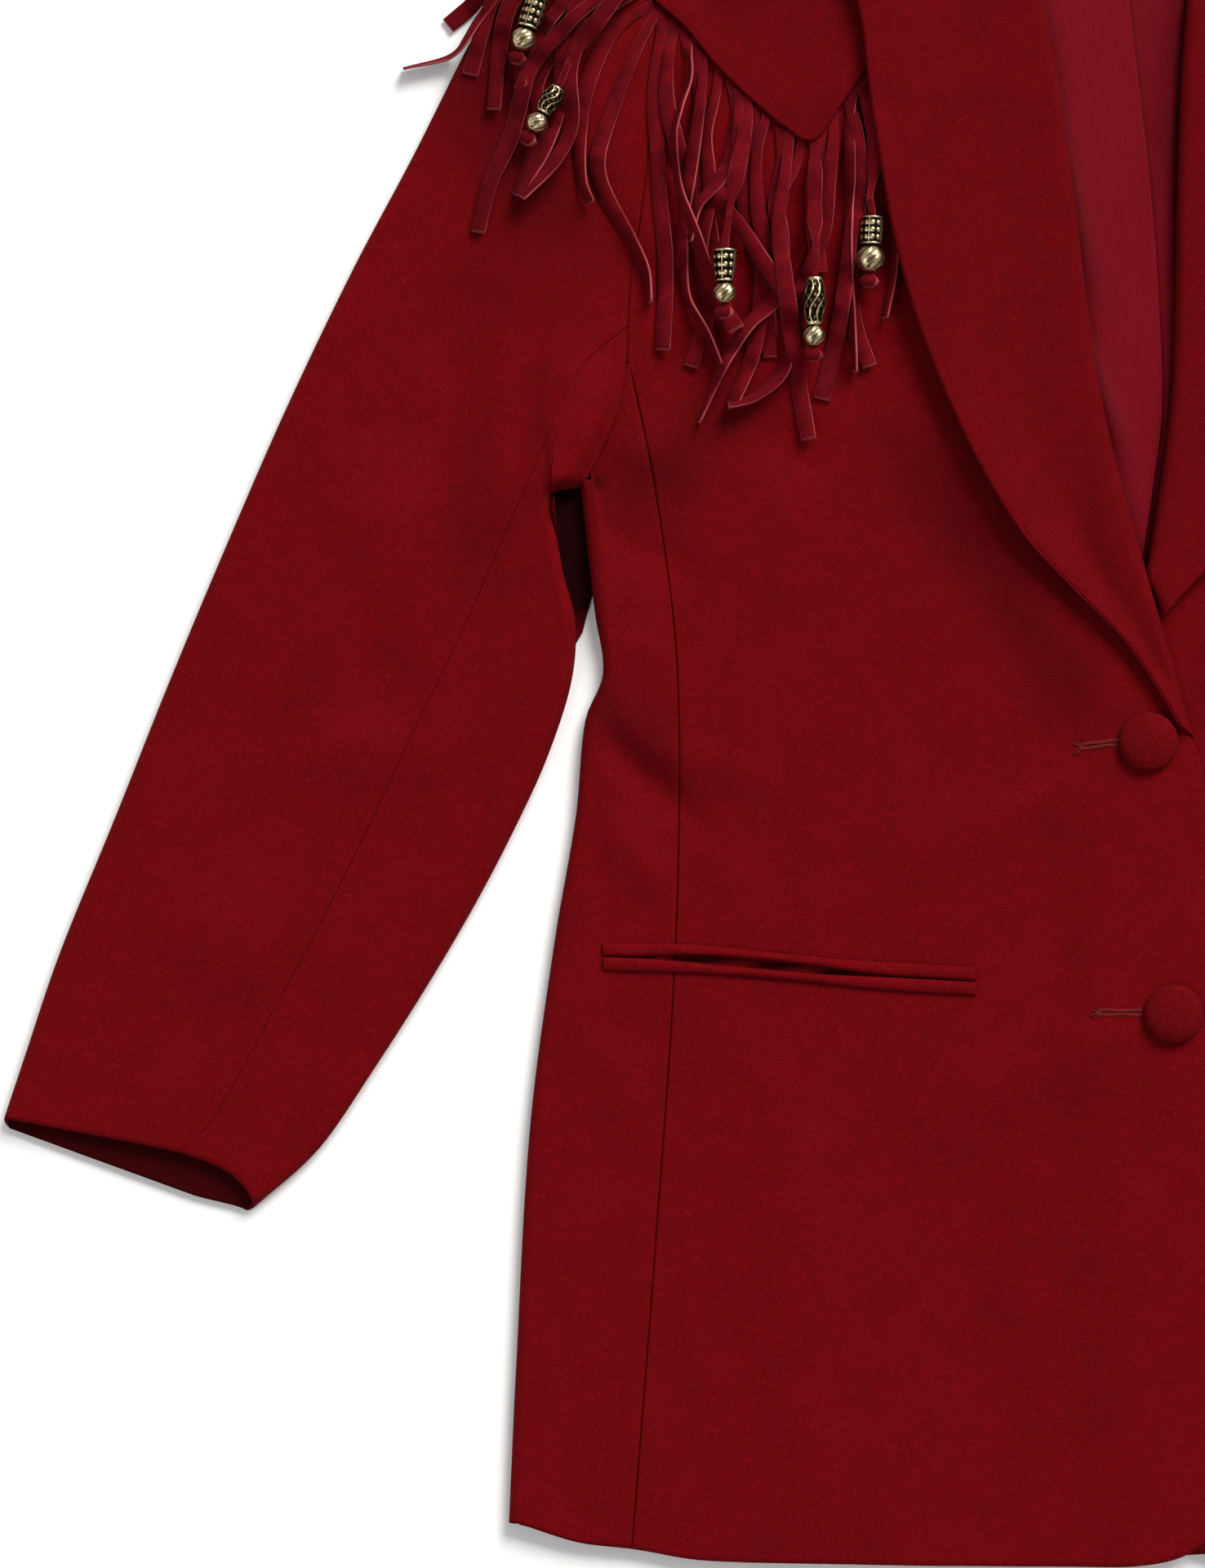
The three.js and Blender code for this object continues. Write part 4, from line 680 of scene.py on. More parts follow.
def sleeveGrids(upper):
    # Across: the top from the front seam to a fold, round the fold, and the underside to the back seam.
    last = len(sleeve["outX"]) - 1
    s = eased(190, 0.5)[:, None] * last
    part = sectionsAt(sleeve, s)
    width = np.hypot(part["inX"] - part["outX"], part["inY"] - part["outY"])
    radius = cloth["sideTop"] / 2
    puffed = radius + part["puff"]
    inset = radius / width
    seam = part["seam"]
    halfGap = 0.0005
    atCuff = smooth(s, last - 1, last)
    low = atCuff * cuff["step"]
    across = eased(84)[None, :]
    t = (seam - halfGap) * (1 - across) if upper else mix(seam + halfGap, 1, across)
    placeX, placeY = sleevePlan(s, mix(inset, 1 - inset, t) if upper else
                                mix(mix(inset, 1 - inset, seam + halfGap), 1, across))
    bow = cuff["bow"] * t * (1 - t ** 7) * atCuff
    placeX, placeY = placeX - sleeveDown[0] * bow, placeY - sleeveDown[1] * bow
    fromEnd = np.minimum(s, last - s) * 38
    seamRim = mix(0.5, 0.28, smooth(s, 0.5, 3))
    drop = rimDrop(np.abs(t - seam) * width, 0.5) * seamRim / 0.5 + rimDrop(fromEnd, cloth["rim"])
    drop = np.minimum(drop, cloth["rim"])
    away = window(s, 0.1, 1.2, last - 0.6, last)
    side = t
    if not upper:
        # Beside the inner fold the height follows the distance from the fold.
        edgeX, edgeY = sleevePlan(s, 1.0)
        distance = edgeDistance(placeX, placeY, edgeX, edgeY)
        side = mix(t, 1 - distance / width, smooth(t, 0.78, 0.95))
    edgeHeight = 2 * mix(radius, puffed, smooth(side, 0.3, 1))
    bed = mix(edgeHeight, part["mid"], np.sin(np.pi * side))
    uneven = (1.3 * foldSum(sleeveFolds, placeX, placeY) + 0.55 * ripple(placeX, placeY, 80, 5)
              + 0.16 * ripple(placeX, placeY, 36, 14))
    bed = bed + uneven * away * np.sin(np.pi * np.clip(side, 0.02, 0.98)) ** 0.5
    fromArm = xOf(armhole, placeY) - placeX
    bulge = bulging["height"] * smooth(bulging["from"] - placeY, 0, 55) * smooth(fromArm, 0, bulging["round"])
    bed = bed + bulge * np.exp(-np.maximum(fromArm, 0) / bulging["reach"])
    w = np.linspace(0, 1, 24)[None, :]
    if upper:
        degrees = np.linspace(80, -82, 15)[None, :]
        angle = np.radians(degrees)
        centreX, centreY = sleevePlan(s, inset)
        edgeX, edgeY = sleevePlan(s, 0.0)
        length = np.hypot(edgeX - centreX, edgeY - centreY)
        outwardX, outwardY = (edgeX - centreX) / length, (edgeY - centreY) / length

        def turn(depth):
            far = (radius - depth) * np.cos(angle)
            down = low * smooth(-degrees, -40, 90)
            return slid(centreX + outwardX * far, centreY + outwardY * far,
                        radius + (radius - depth) * np.sin(angle), down)

        under = slid(*sleevePlan(s, mix(inset, 1 - inset, (backSeam - 0.0002) * w)), 0, low)
        return (np.concatenate([stack(placeX, placeY, bed - drop), turn(0), under], 1),
                np.concatenate([stack(placeX, placeY, bed - cloth["wall"] + drop), turn(cloth["wall"]),
                                under + (0, 0, cloth["wall"])], 1))
    # The inner fold is rounded by its distance from the edge, and near the underarm the lower layer
    # goes on towards the body, so that the hollow there has a floor.
    alongX, alongY = np.gradient(edgeX, axis=0), np.gradient(edgeY, axis=0)
    length = np.hypot(alongX, alongY)
    normalX, normalY = -alongY / length, alongX / length
    tuck = part["tuck"]
    tucked = smooth(tuck, 0, 3)
    small = puffed - cloth["wall"]
    inward = cloth["wall"] * (1 - smooth(distance, 0, puffed))
    top = stack(placeX, placeY, puffed + (bed - puffed) * quarterRound(distance, puffed) - drop)
    innerRise = (bed - cloth["wall"] - puffed) * quarterRound(distance - cloth["wall"], small)
    topInner = stack(placeX - normalX * inward, placeY - normalY * inward, puffed + innerRise + drop)
    q = np.linspace(0.04, 1, 16)[None, :]
    angle = np.radians(86) * q
    outFlat = smooth(q, 0.45, 1)

    def turn(depth):
        r = puffed - depth
        roundOff = -puffed + r * np.cos(angle)
        flatOff = tuck * outFlat - 0.33 * depth
        shiftX = mix(normalX * roundOff, flatOff, tucked)
        shiftY = mix(normalY * roundOff, -0.15 * tuck * outFlat, tucked)
        down = low * smooth(q, 0, 0.9)
        flatZ = mix(puffed, 1.5 - 0.25 * depth, smooth(q, 0, 0.5)) - 0.6 * outFlat
        return slid(edgeX + shiftX, edgeY + shiftY, mix(puffed - r * np.sin(angle), flatZ, tucked), down)

    underX, underY = sleevePlan(s, mix(inset, 1 - inset, mix(1, backSeam + 0.0002, w)))
    firstX, firstY = underX[:, :1], underY[:, :1]
    startX = edgeX + mix(-normalX * puffed, tuck, tucked)
    startY = edgeY + mix(-normalY * puffed, -0.15 * tuck, tucked)
    fade = 1 - smooth(w, 0, 0.4)
    under = slid(underX + (startX - firstX) * fade, underY + (startY - firstY) * fade, 0, low)
    thick = mix(cloth["wall"], 0.6, tucked * fade)
    underInner = under + stack(0 * thick, 0 * thick, thick)
    return (np.concatenate([top, turn(0), under], 1),
            np.concatenate([topInner, turn(cloth["wall"]), underInner], 1))


upperSleeve = sleeveGrids(True)
underSleeve = sleeveGrids(False)
# Both sleeves get painted shade on their inner faces.
addWall("upper_sleeve", upperSleeve, shade=(0, cuff["shade"]))
addWall("under_sleeve", underSleeve, shade=(0, cuff["shade"]))
print("sleeves made")


# Heights of what lies below, on a grid of 1 mm over the right half.
field = {"x": -300, "y": -95, "columns": 330, "rows": 430}
heights = np.zeros((field["rows"], field["columns"]))


def cellsOf(x, y):
    # Row and column of the cell under each place.
    i = np.clip(np.rint(x - field["x"]).astype(int), 0, field["columns"] - 1)
    j = np.clip(np.rint(y - field["y"]).astype(int), 0, field["rows"] - 1)
    return j, i


def layGrid(grid, times=3):
    # Marks a grid's heights, with points added between its own.
    rows, columns = grid.shape[:2]
    a = np.linspace(0, rows - 1, rows * times)
    b = np.linspace(0, columns - 1, columns * times)
    i, j = np.minimum(a.astype(int), rows - 2), np.minimum(b.astype(int), columns - 2)
    fa, fb = (a - i)[:, None, None], (b - j)[None, :, None]
    before, after = (mix(grid[row][:, j], grid[row][:, j + 1], fb) for row in (i, i + 1))
    dense = mix(before, after, fa)
    inside = ((dense[..., 0] > field["x"]) & (dense[..., 0] < field["x"] + field["columns"])
              & (dense[..., 1] > field["y"]) & (dense[..., 1] < field["y"] + field["rows"]))
    dense = dense[inside]
    np.maximum.at(heights, cellsOf(dense[:, 0], dense[:, 1]), dense[:, 2])


for grids in (rightFront, sidePanel, upperSleeve, underSleeve):
    layGrid(grids[0])


def spread(values, reach):
    # Highest value within a square of cells.
    grown = values.copy()
    for axis in (0, 1):
        source = grown.copy()
        for k in range(1, reach + 1):
            grown = np.maximum(grown, np.maximum(np.roll(source, k, axis), np.roll(source, -k, axis)))
    return grown


def soften(values, reach):
    # Evens the cells out under a rounded window, along each axis in turn.
    kernel = np.hanning(2 * reach + 3)[1:-1]
    kernel /= kernel.sum()

    def even(row):
        return np.convolve(np.pad(row, reach, "edge"), kernel, "valid")

    return np.apply_along_axis(even, 1, np.apply_along_axis(even, 0, values))


# Yoke, over the roots of its fringe.
yoke = {"wall": 1.9, "lift": 1.9}


def yokeGrids():
    # From its pointed lower edge to the shoulder, lifted there by the roots of its fringe.
    u = eased(110)[None, :]
    v = eased(70)[:, None]
    lowX = mix(yokeEdge["x"][0], yokeEdge["x"][-1], u)
    lowY = yOf(yokeEdge, lowX)
    highX = mix(-189.6, -92, u)
    x = mix(lowX, highX, v)
    y = mix(lowY, yOf(shoulder, highX), v)
    x = np.maximum(x, xOf(armhole, y) + 0.3)
    drop = rims(np.hypot(x - lowX, y - lowY) * 0.8, (1 - v) * 90, u * 100)
    bed = frontTop(x, y, True) + mix(yoke["lift"], 0.4, smooth(v, 0.06, 0.3)) + 0.12 * ripple(x, y, 50, 4)
    return stack(x, y, bed + yoke["wall"] - drop), stack(x, y, bed + drop)


yokePanel = yokeGrids()
addWall("yoke", yokePanel, shade=overlayShade)

# Each strand by points along it from its root to its end, and the degrees by which it is turned on
# edge at its root, halfway and at its end. Strands that come first lie lowest.
strand = {"width": 6.3, "thick": 1.15, "bevel": 0.32, "thread": 2.6, "stations": 64, "gap": 0.25,
          "raw": (1, 0.2, 0.2, 1, 1, 0.2, 0.2, 1), "rawEnd": 0.7}  # how pale each corner and the end are
strip = {"width": 3.0, "thick": 1.2, "stations": 40}  # holds the strands' roots under the edge
yokeStrands = [
    {"turn": (0, 10, 30), "x": (-182, -185, -188, -188, -188, -187, -190),
     "y": (232, 218, 198, 178, 159, 132, 96)},
    {"turn": (10, 20, 40), "x": (-178, -182, -183, -179, -175, -176), "y": (229, 211, 195, 173, 155, 135)},
    {"turn": (0, 0, 20), "x": (-171, -170, -170, -170, -168), "y": (222, 203, 181, 157, 138)},
    {"turn": (15, 30, 0), "x": (-161, -164, -168, -168, -173, -170, -174, -179),
     "y": (209, 195, 181, 157, 135, 115, 102, 89)},
    {"turn": (0, 10, 0), "x": (-147, -150, -154, -151, -147, -147), "y": (193, 176, 157, 137, 117, 91)},
    {"turn": (0, 12, 30), "x": (-143, -148, -149, -147, -150, -154, -163),
     "y": (189, 173, 153, 133, 110, 92, 73)},
    {"turn": (0, 20, 76), "x": (-138, -138, -142, -141, -139, -142, -154, -165),
     "y": (184, 169, 150, 126, 103, 85, 75, 72)},
    {"turn": (20, 10, 0), "x": (-119, -123, -126, -126, -125), "y": (185, 172, 155, 139, 124)},
    {"turn": (10, 30, 0), "x": (-103, -103, -105, -109, -113, -112, -107),
     "y": (209, 187, 167, 144, 122, 102, 85)},
    {"turn": (0, 50, 72), "x": (-100, -97, -95, -95, -100), "y": (207, 180, 150, 126, 104)},
    {"turn": (5, 50, 78), "x": (-167, -170, -175, -179, -180, -179, -172, -167),
     "y": (216, 194, 168, 148, 132, 116, 102, 89)},
    {"turn": (0, 35, 74), "x": (-157, -155, -158, -164, -173, -177), "y": (204, 191, 175, 162, 152, 138)},
    {"turn": (0, 30, 80), "x": (-129, -133, -140, -140, -143, -155, -166, -177),
     "y": (179, 167, 154, 136, 115, 104, 88, 66)},
    {"turn": (0, 12, 0), "x": (-116, -117, -120, -123, -130, -135, -135),
     "y": (191, 176, 160, 140, 124, 110, 93)},
    {"turn": (30, 66, 80), "x": (-107, -110, -111, -113, -113, -113), "y": (202, 184, 161, 135, 112, 83)},
    {"turn": (72, 66, 0), "x": (-175, -173, -178, -181, -180, -175, -168, -160),
     "y": (226, 207, 192, 181, 159, 141, 119, 102)},
    {"turn": (0, 22, 10), "x": (-154, -155, -157, -164, -158, -150, -144, -138),
     "y": (200, 183, 165, 154, 146, 133, 122, 111)},
    {"turn": (0, 8, 14), "x": (-134, -137, -141, -140, -138, -136, -133),
     "y": (182, 164, 143, 123, 100, 80, 57)},
    {"turn": (10, 20, 0), "x": (-111, -107, -108, -112, -115, -120, -127),
     "y": (198, 177, 154, 138, 120, 97, 73)},
    {"turn": (0, 14, 50), "x": (-186, -199, -208, -216, -219, -219, -216),
     "y": (236, 229, 219, 201, 183, 165, 156)},
    {"turn": (0, 24, 80), "x": (-184, -194, -204, -212, -211, -200, -195, -194),
     "y": (235, 218, 197, 175, 163, 140, 128, 115)},
    {"turn": (0, 10, 0), "bead": "chest", "x": (-150, -152, -156, -161), "y": (197, 184, 168, 148)},
    {"turn": (0, 10, 0), "bead": "point", "x": (-124, -125, -126, -127), "y": (178, 165, 150, 132)},
    {"turn": (0, 30, 0), "bead": "lapel", "x": (-105, -102, -101, -104), "y": (205, 186, 168, 152)},
]
armholeStrands = [
    {"turn": (0, 0, 10), "x": (-190, -218, -238, -255, -270), "y": (284, 269, 255, 244, 233)},
    {"turn": (0, 40, 80), "x": (-190, -221, -245, -257, -267, -289), "y": (280, 266, 247, 233, 221, 216)},
    {"turn": (0, 10, 0), "x": (-189, -212, -235, -250, -256, -262), "y": (274, 262, 252, 241, 228, 211)},
    {"turn": (0, 0, 12), "x": (-189, -208, -229, -243, -249, -253), "y": (270, 259, 250, 239, 223, 196)},
    {"turn": (0, 60, 70), "x": (-187, -205, -219, -224, -222), "y": (246, 238, 226, 212, 199)},
    {"turn": (0, 10, 40), "x": (-188, -204, -224, -235, -235, -238, -245),
     "y": (258, 248, 223, 206, 191, 178, 161)},
    {"turn": (0, 20, 40), "x": (-188, -199, -219, -233, -240, -242), "y": (262, 258, 241, 225, 217, 204)},
    {"turn": (0, 15, 55), "x": (-187, -195, -214, -223, -226, -233, -245),
     "y": (250, 247, 239, 220, 200, 179, 160)},
    {"turn": (0, 12, 60), "x": (-186, -200, -212, -221, -222, -229, -244),
     "y": (244, 237, 229, 211, 188, 174, 159)},
    {"turn": (0, 10, 20), "x": (-188, -208, -223, -237, -242, -248, -256, -262),
     "y": (254, 238, 226, 212, 199, 182, 167, 147)},
    {"turn": (0, 10, 0), "bead": "shoulder", "x": (-189, -204, -216, -224), "y": (272, 264, 252, 244)},
    {"turn": (0, 10, 0), "bead": "sleeve", "x": (-187, -199, -209, -222), "y": (252, 240, 228, 212)},
]
beadCentres = {}
for beadName in ("shoulder", "sleeve", "chest", "point", "lapel"):
    for kind in ("barrel", "ball"):
        low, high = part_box(f"{kind}_{beadName}_right")
        beadCentres[kind, beadName] = (np.array(low) + np.array(high)) * 500 - frameShift


def alongPath(path, count):
    # Evenly spaced places on a smooth line through the points, which are spaced by their distance.
    path = np.asarray(path, float)
    lengths = runLengths(path)
    dense = np.linspace(0, lengths[-1], count * 6)
    line = np.stack([curve(lengths, path[:, k], dense) for k in range(path.shape[1])], -1)
    run = runLengths(line)
    even = np.linspace(0, run[-1], count)
    return np.stack([np.interp(even, run, line[:, k]) for k in range(path.shape[1])], -1), run[-1]


def ribbon(places, widths, thicks, tilts):
    # Eight corners round each place: a flat band with small bevels, turned about its own path by tilt.
    heading = unit(np.gradient(places, axis=0))
    side = unit(np.cross((0, 0, 1), heading))
    up = np.cross(heading, side)
    flat = side * np.cos(tilts)[:, None] + up * np.sin(tilts)[:, None]
    face = -side * np.sin(tilts)[:, None] + up * np.cos(tilts)[:, None]
    bevel = np.minimum(strand["bevel"], thicks * 0.4)
    w, h = widths / 2, thicks / 2
    corners = [(w, h - bevel), (w - bevel, h), (bevel - w, h), (-w, h - bevel),
               (-w, bevel - h), (bevel - w, -h), (w - bevel, -h), (w, bevel - h)]
    return np.stack([places + flat * a[:, None] + face * b[:, None] for a, b in corners], 1)


def layStrand(row, wobble):
    # The strand follows the highest thing under it, evened out along its length.
    count = strand["stations"]
    bead = row.get("bead")
    line, length = alongPath(np.column_stack([row["x"], row["y"]]), count)
    t = np.linspace(0, 1, count)
    tilt = np.radians(curve((0, 0.5, 1), row["turn"], t) + wobble * 9 * np.sin(5 * t + wobble * 3) * t)
    width = strand["width"] * mix(0.62, 1, smooth(t, 0.02, 0.4)) * (1 + 0.07 * np.sin(7 * t + 5 * wobble))
    heading = unit(np.gradient(line, axis=0))
    side = np.stack([-heading[:, 1], heading[:, 0]], -1)
    half = width / 2 * np.abs(np.cos(tilt)) + 0.6
    offsets = np.linspace(-1, 1, 9)
    probes = line[:, None] + side[:, None] * (half[:, None] * offsets)[..., None]
    cells = cellsOf(probes[..., 0], probes[..., 1])
    bed = heights[cells].max(1)
    step = length / count
    reach = max(int(3.0 / step), 1)
    high = np.max([np.roll(np.pad(bed, reach, "edge"), k)[reach:-reach] for k in range(-reach, reach + 1)], 0)
    kernel = np.hanning(2 * reach + 5)[1:-1]
    even = np.convolve(np.pad(high, len(kernel) // 2, "edge"), kernel / kernel.sum(), "valid")[:count]
    base = np.maximum(even, bed) + strand["gap"]
    if bead:
        barrel = beadCentres["barrel", bead]
        base = mix(base, barrel[2], smooth(t, 0.55, 1.0))
    # Its root lies flat under the edge that holds it, whatever it crosses further down.
    held = 1 - smooth(t * length, 5, 15)
    tilt = tilt * (1 - held)
    floorHeight = cloth["top"] + 0.4 if line[0, 0] > -186.5 else cloth["sideTop"] + 0.4
    base = mix(base, np.minimum(base, floorHeight + 0.5), held)
    stand = width / 2 * np.abs(np.sin(tilt)) + strand["thick"] / 2 * np.cos(tilt)
    centre = base + stand
    curl = 1.6 * smooth(t, 0.86, 1) * (wobble > 0.4)
    if bead:
        width = mix(width, strand["thread"], smooth(t, 0.7, 0.95))
    corners = ribbon(np.column_stack([line, centre + curl]), width, np.full(count, strand["thick"]), tilt)
    # What lies on it later sees its top, or half of it where it stands on edge.
    top = base + np.minimum(2 * stand, 2.4)
    np.maximum.at(heights, cells, np.broadcast_to(top[:, None], cells[0].shape))
    return corners


def sectionQuads(stations, first):
    # Side faces of a run of eight-cornered sections, and a cap of three quads at each end.
    sides = gridQuads(stations, 8, closed=True)
    cap = np.array([(0, 1, 2, 3), (0, 3, 4, 7), (4, 5, 6, 7)])
    return np.concatenate([sides, cap[:, ::-1], cap + (stations - 1) * 8]) + first


def joinRuns(runs):
    # Several runs of sections as one mesh.
    first = np.cumsum([0, *[len(run) * 8 for run in runs]])
    return (np.concatenate([run.reshape(-1, 3) for run in runs]),
            np.concatenate([sectionQuads(len(run), start) for run, start in zip(runs, first)]))


def band(places, width, thick):
    # A ribbon of even width and thickness that lies flat.
    count = len(places)
    return ribbon(places, np.full(count, width), np.full(count, thick), np.zeros(count))


def addFringe(name, rows, stripLine, stripTop, dark):
    # All strands of one edge as a mesh, with their cut edges marked raw, and the strip that holds them; dark
    # is how much painted shade the suede gets.
    runs = []
    raw = []
    for number, row in enumerate(rows):
        made = [layStrand(row, rng.uniform(-1, 1))]
        if "bead" in row:
            made.append(beadThread(row["bead"], made[0][-1].mean(0)))
        for run in made:
            uneven = 0.55 + 0.45 * np.sin(number * 2.1 + np.arange(len(run)) / 9)[:, None] ** 2
            mark = np.tile(strand["raw"], (len(run), 1)) * uneven
            mark[-1] = strand["rawEnd"]
            raw.append(mark.ravel())
        runs += made
    count = strip["stations"]
    line, _ = alongPath(stripLine, count)
    runs.append(band(np.column_stack([line, np.full(count, stripTop)]), strip["width"], strip["thick"]))
    raw.append(np.zeros(count * 8))
    points, quads = joinRuns(runs)
    for side, place in bothSides(points):
        addPiece(f"suede_{name}_{side}", place, quads, suedeFringe, [f"{name}_{side}"], "suede",
                 {"rawEdge": np.concatenate(raw), "shade": np.full(len(points), dark)})


def beadThread(bead, start):
    # Thin end of the strand through both beads, closed by a folded knot below them.
    barrel, ball = beadCentres["barrel", bead], beadCentres["ball", bead]
    heading = unit(ball - barrel)
    size = beads[bead]
    after = ball + heading * (size["ball"] + 0.4)
    run = [start, barrel - heading * (size["half"] + 0.6), barrel, ball, after, after + heading * 1.2,
           after + heading * 2.6, after + heading * 4.4, after + heading * 5.4]
    widths = np.array([2.6, 2.6, 2.4, 2.4, 2.6, 5.6, 7.4, 6.0, 3.2])
    thicks = np.array([1.2, 1.4, 1.6, 1.6, 1.6, 3.4, 4.2, 3.4, 1.8])
    line, _ = alongPath(run, 40)
    t = np.linspace(0, 1, 40)
    lengths = runLengths(np.array(run))
    knots = lengths / lengths[-1]
    return ribbon(line, np.interp(t, knots, widths), np.interp(t, knots, thicks), 0.5 * smooth(t, 0.8, 1))


# Turned beads with raised relief, bored through: radius, half length, the ball's radius and pattern.
beads = {
    "shoulder": {"radius": 4.5, "half": 6.6, "ball": 4.9, "form": "dotted"},
    "sleeve": {"radius": 4.0, "half": 6.2, "ball": 4.3, "form": "spindle"},
    "chest": {"radius": 4.5, "half": 6.6, "ball": 4.6, "form": "tapered"},
    "point": {"radius": 4.5, "half": 10.0, "ball": 4.5, "form": "spindle"},
    "lapel": {"radius": 4.6, "half": 5.8, "ball": 5.8, "form": "dotted"},
}
bore = {"radius": 1.7, "rows": 6}
beadGrid = {"around": 60, "rows": 44}


def dots(angle, height, around, rows, radius, length):
    # Round grains in rows: 1 at each grain's middle, 0 between them.
    a = (angle * around / (2 * np.pi) + 0.5) % 1 - 0.5
    h = (height * rows + 0.5) % 1 - 0.5
    spanA, spanH = 2 * np.pi * radius / around, length / rows
    return np.sqrt(np.clip(1 - ((a * spanA) ** 2 + (h * spanH) ** 2) / (min(spanA, spanH) * 0.42) ** 2, 0, 1))


def barrelShape(size, angle, h):
    # h runs from -1 to 1 along the bead; returns radius and relief.
    radius, half = size["radius"], size["half"]
    ring = bell(np.abs(h) - 0.9, 0.07)
    if size["form"] == "spindle":
        body = radius * (0.52 + 0.48 * np.cos(h * 1.35) ** 1.1)
        scroll = np.abs(np.sin(4 * angle + 7 * h)) * np.abs(np.sin(4 * angle - 7 * h))
        petals = bell(np.abs(np.sin(4 * angle + 2.2 * np.sin(3 * h))) - 0.1, 0.22)
        relief = np.clip(0.85 * petals + 0.5 * scroll, 0, 1) * (np.abs(h) < 0.84) + ring
    else:
        taper = 1 - 0.16 * h * (size["form"] == "tapered")
        body = radius * taper * (0.88 + 0.1 * np.cos(h * 1.2))
        ridge = bell(np.sin(angle * 2.5), 0.16)
        grain = dots(angle + np.pi / 10, (h + 1) / 2, 10, 4, radius, 2 * half)
        relief = np.clip(np.maximum(ridge, grain * (ridge < 0.4)), 0, 1) * (np.abs(h) < 0.8) + ring
    return body * 0.93 + 0.55 * np.clip(relief, 0, 1), np.clip(relief, 0, 1)


def ballShape(radius, angle, h):
    # A sphere with leaves swept round it and a small ring at each pole.
    sphere = radius * np.sqrt(np.clip(1 - h * h * 0.9, 0.05, 1))
    sweep = 7 * angle + 4.4 * h + 1.6 * np.sin(2 * angle + 3 * h)
    leaves = np.clip(np.sin(sweep) * 1.2 + 0.5 * np.sin(2 * sweep + 12 * h), -1, 1) * 0.5 + 0.5
    relief = leaves * (np.abs(h) < 0.8) + bell(np.abs(h) - 0.88, 0.06)
    return sphere * 0.965 + 0.26 * np.clip(relief, 0, 1), np.clip(0.42 + 0.58 * relief, 0, 1)


def addBead(kind, name):
    size = beads[name]
    barrel, ball = beadCentres["barrel", name], beadCentres["ball", name]
    axis = unit(ball - barrel)
    centre = barrel if kind == "barrel" else ball
    half = size["half"] if kind == "barrel" else size["ball"] * 0.94
    around = beadGrid["around"]
    angle = np.linspace(0, 2 * np.pi, around, endpoint=False)[None, :]
    h = np.linspace(-1, 1, beadGrid["rows"])[:, None]
    radius, relief = barrelShape(size, angle, h) if kind == "barrel" else ballShape(size["ball"], angle, h)
    # The section goes out over the relief and back through the bore.
    inside = np.zeros((bore["rows"], around))
    back = np.linspace(1, -1, bore["rows"])[:, None] + inside
    along = np.concatenate([np.broadcast_to(h, radius.shape), back]) * half
    radial = np.concatenate([radius, inside + bore["radius"]])
    relief = np.concatenate([relief, inside])
    across = unit(np.cross(axis, (0, 0, 1)))
    upward = np.cross(across, axis)
    points = (centre + axis * along[..., None] + across * (radial * np.cos(angle))[..., None]
              + upward * (radial * np.sin(angle))[..., None])
    rows = along.shape[0]
    quads = gridQuads(rows, around, closed=True)
    last = (rows - 1) * around + np.arange(around)
    first = np.arange(around)
    closing = np.stack([last, np.roll(last, -1), np.roll(first, -1), first], -1)
    for side, place in bothSides(points.reshape(-1, 3)):
        addPiece(f"brass_{kind}_{name}_{side}", place, np.concatenate([quads, closing]), castBrass,
                 [f"{kind}_{name}_{side}"], "brass", {"relief": relief})


armholeStrip = [(-190, 288), (-188, 270), (-187, 255), (-186.5, 243)]
yokeStrip = [(x, y + 3.2) for x, y in zip(yokeEdge["x"], yokeEdge["y"])]
# The armhole's fringe gets more painted shade than the yoke's.
addFringe("yoke_fringe", yokeStrands, yokeStrip, cloth["top"] + 1.0, 0.05)
layGrid(yokePanel[0])
addFringe("armhole_fringe", armholeStrands, armholeStrip, cloth["sideTop"] + 3.0, 0.3)
for beadName in beads:
    addBead("barrel", beadName)
    addBead("ball", beadName)
print("yokes, fringe and beads made")


underLapel = soften(spread(heights, 5), 7)


def lapelGrids(table, overlaps):
    # Half a turn out of the front's edge, and from there over the front to the lapel's own edge.
    last = len(table["rollX"]) - 1
    s = mix(0, last, eased(190, 0.25))[:, None]
    part = sectionsAt(table, s)
    rollX, rollY, edgeX, edgeY, radius = (part[key] for key in lapelLine)
    width = np.hypot(edgeX - rollX, edgeY - rollY)
    dirX, dirY = (edgeX - rollX) / width, (edgeY - rollY) / width
    startX, startY = rollX + dirX * (radius - 0.15), rollY + dirY * (radius - 0.15)
    base = frontTop(startX, startY, overlaps) - cloth["wall"] + part.get("seat", 0)
    angle = np.radians(np.linspace(-88, 86, 18))[None, :]
    thin = np.maximum(radius - cloth["wall"] + 0.3, 0.35)

    def turn(r):
        far = r * np.cos(angle)
        return stack(startX - dirX * far, startY - dirY * far, base + radius + r * np.sin(angle))

    share = mix(0.02, 1, eased(80, 0.5))[None, :]
    reach = share * (width - radius)
    x, y = startX + dirX * reach, startY + dirY * reach
    top = frontTop(x, y, True)
    hang = mix(part["mid"], part["edge"], smooth(share, 0.3, 1))
    lift = mix(base + radius + thin - top, hang, smooth(share, 0, 0.5))
    clear = (underLapel[cellsOf(x, y)] + 0.5) * smooth(y, 10, 60) * smooth(share, 0.1, 0.3)
    bed = np.maximum(top + lift, clear) + 0.25 * ripple(x, y, 70, 8) * smooth(share, 0.05, 0.3)
    wall = mix(cloth["wall"], 2.8, smooth(share, 0, 0.5))
    drop = rimDrop(np.minimum((1 - share) * width, np.minimum(s, last - s) * 20), 1.3)
    # The facing's own edge shows beside the lower edge as a fine step.
    step = 0.6 * bell((1 - share) * width - 2.4, 0.5) * (1 - smooth(s, 3, 5.5))
    under, over = stack(x, y, bed + drop), stack(x, y, bed + wall - drop - step)
    return np.concatenate([turn(radius), over], 1), np.concatenate([turn(thin), under], 1)


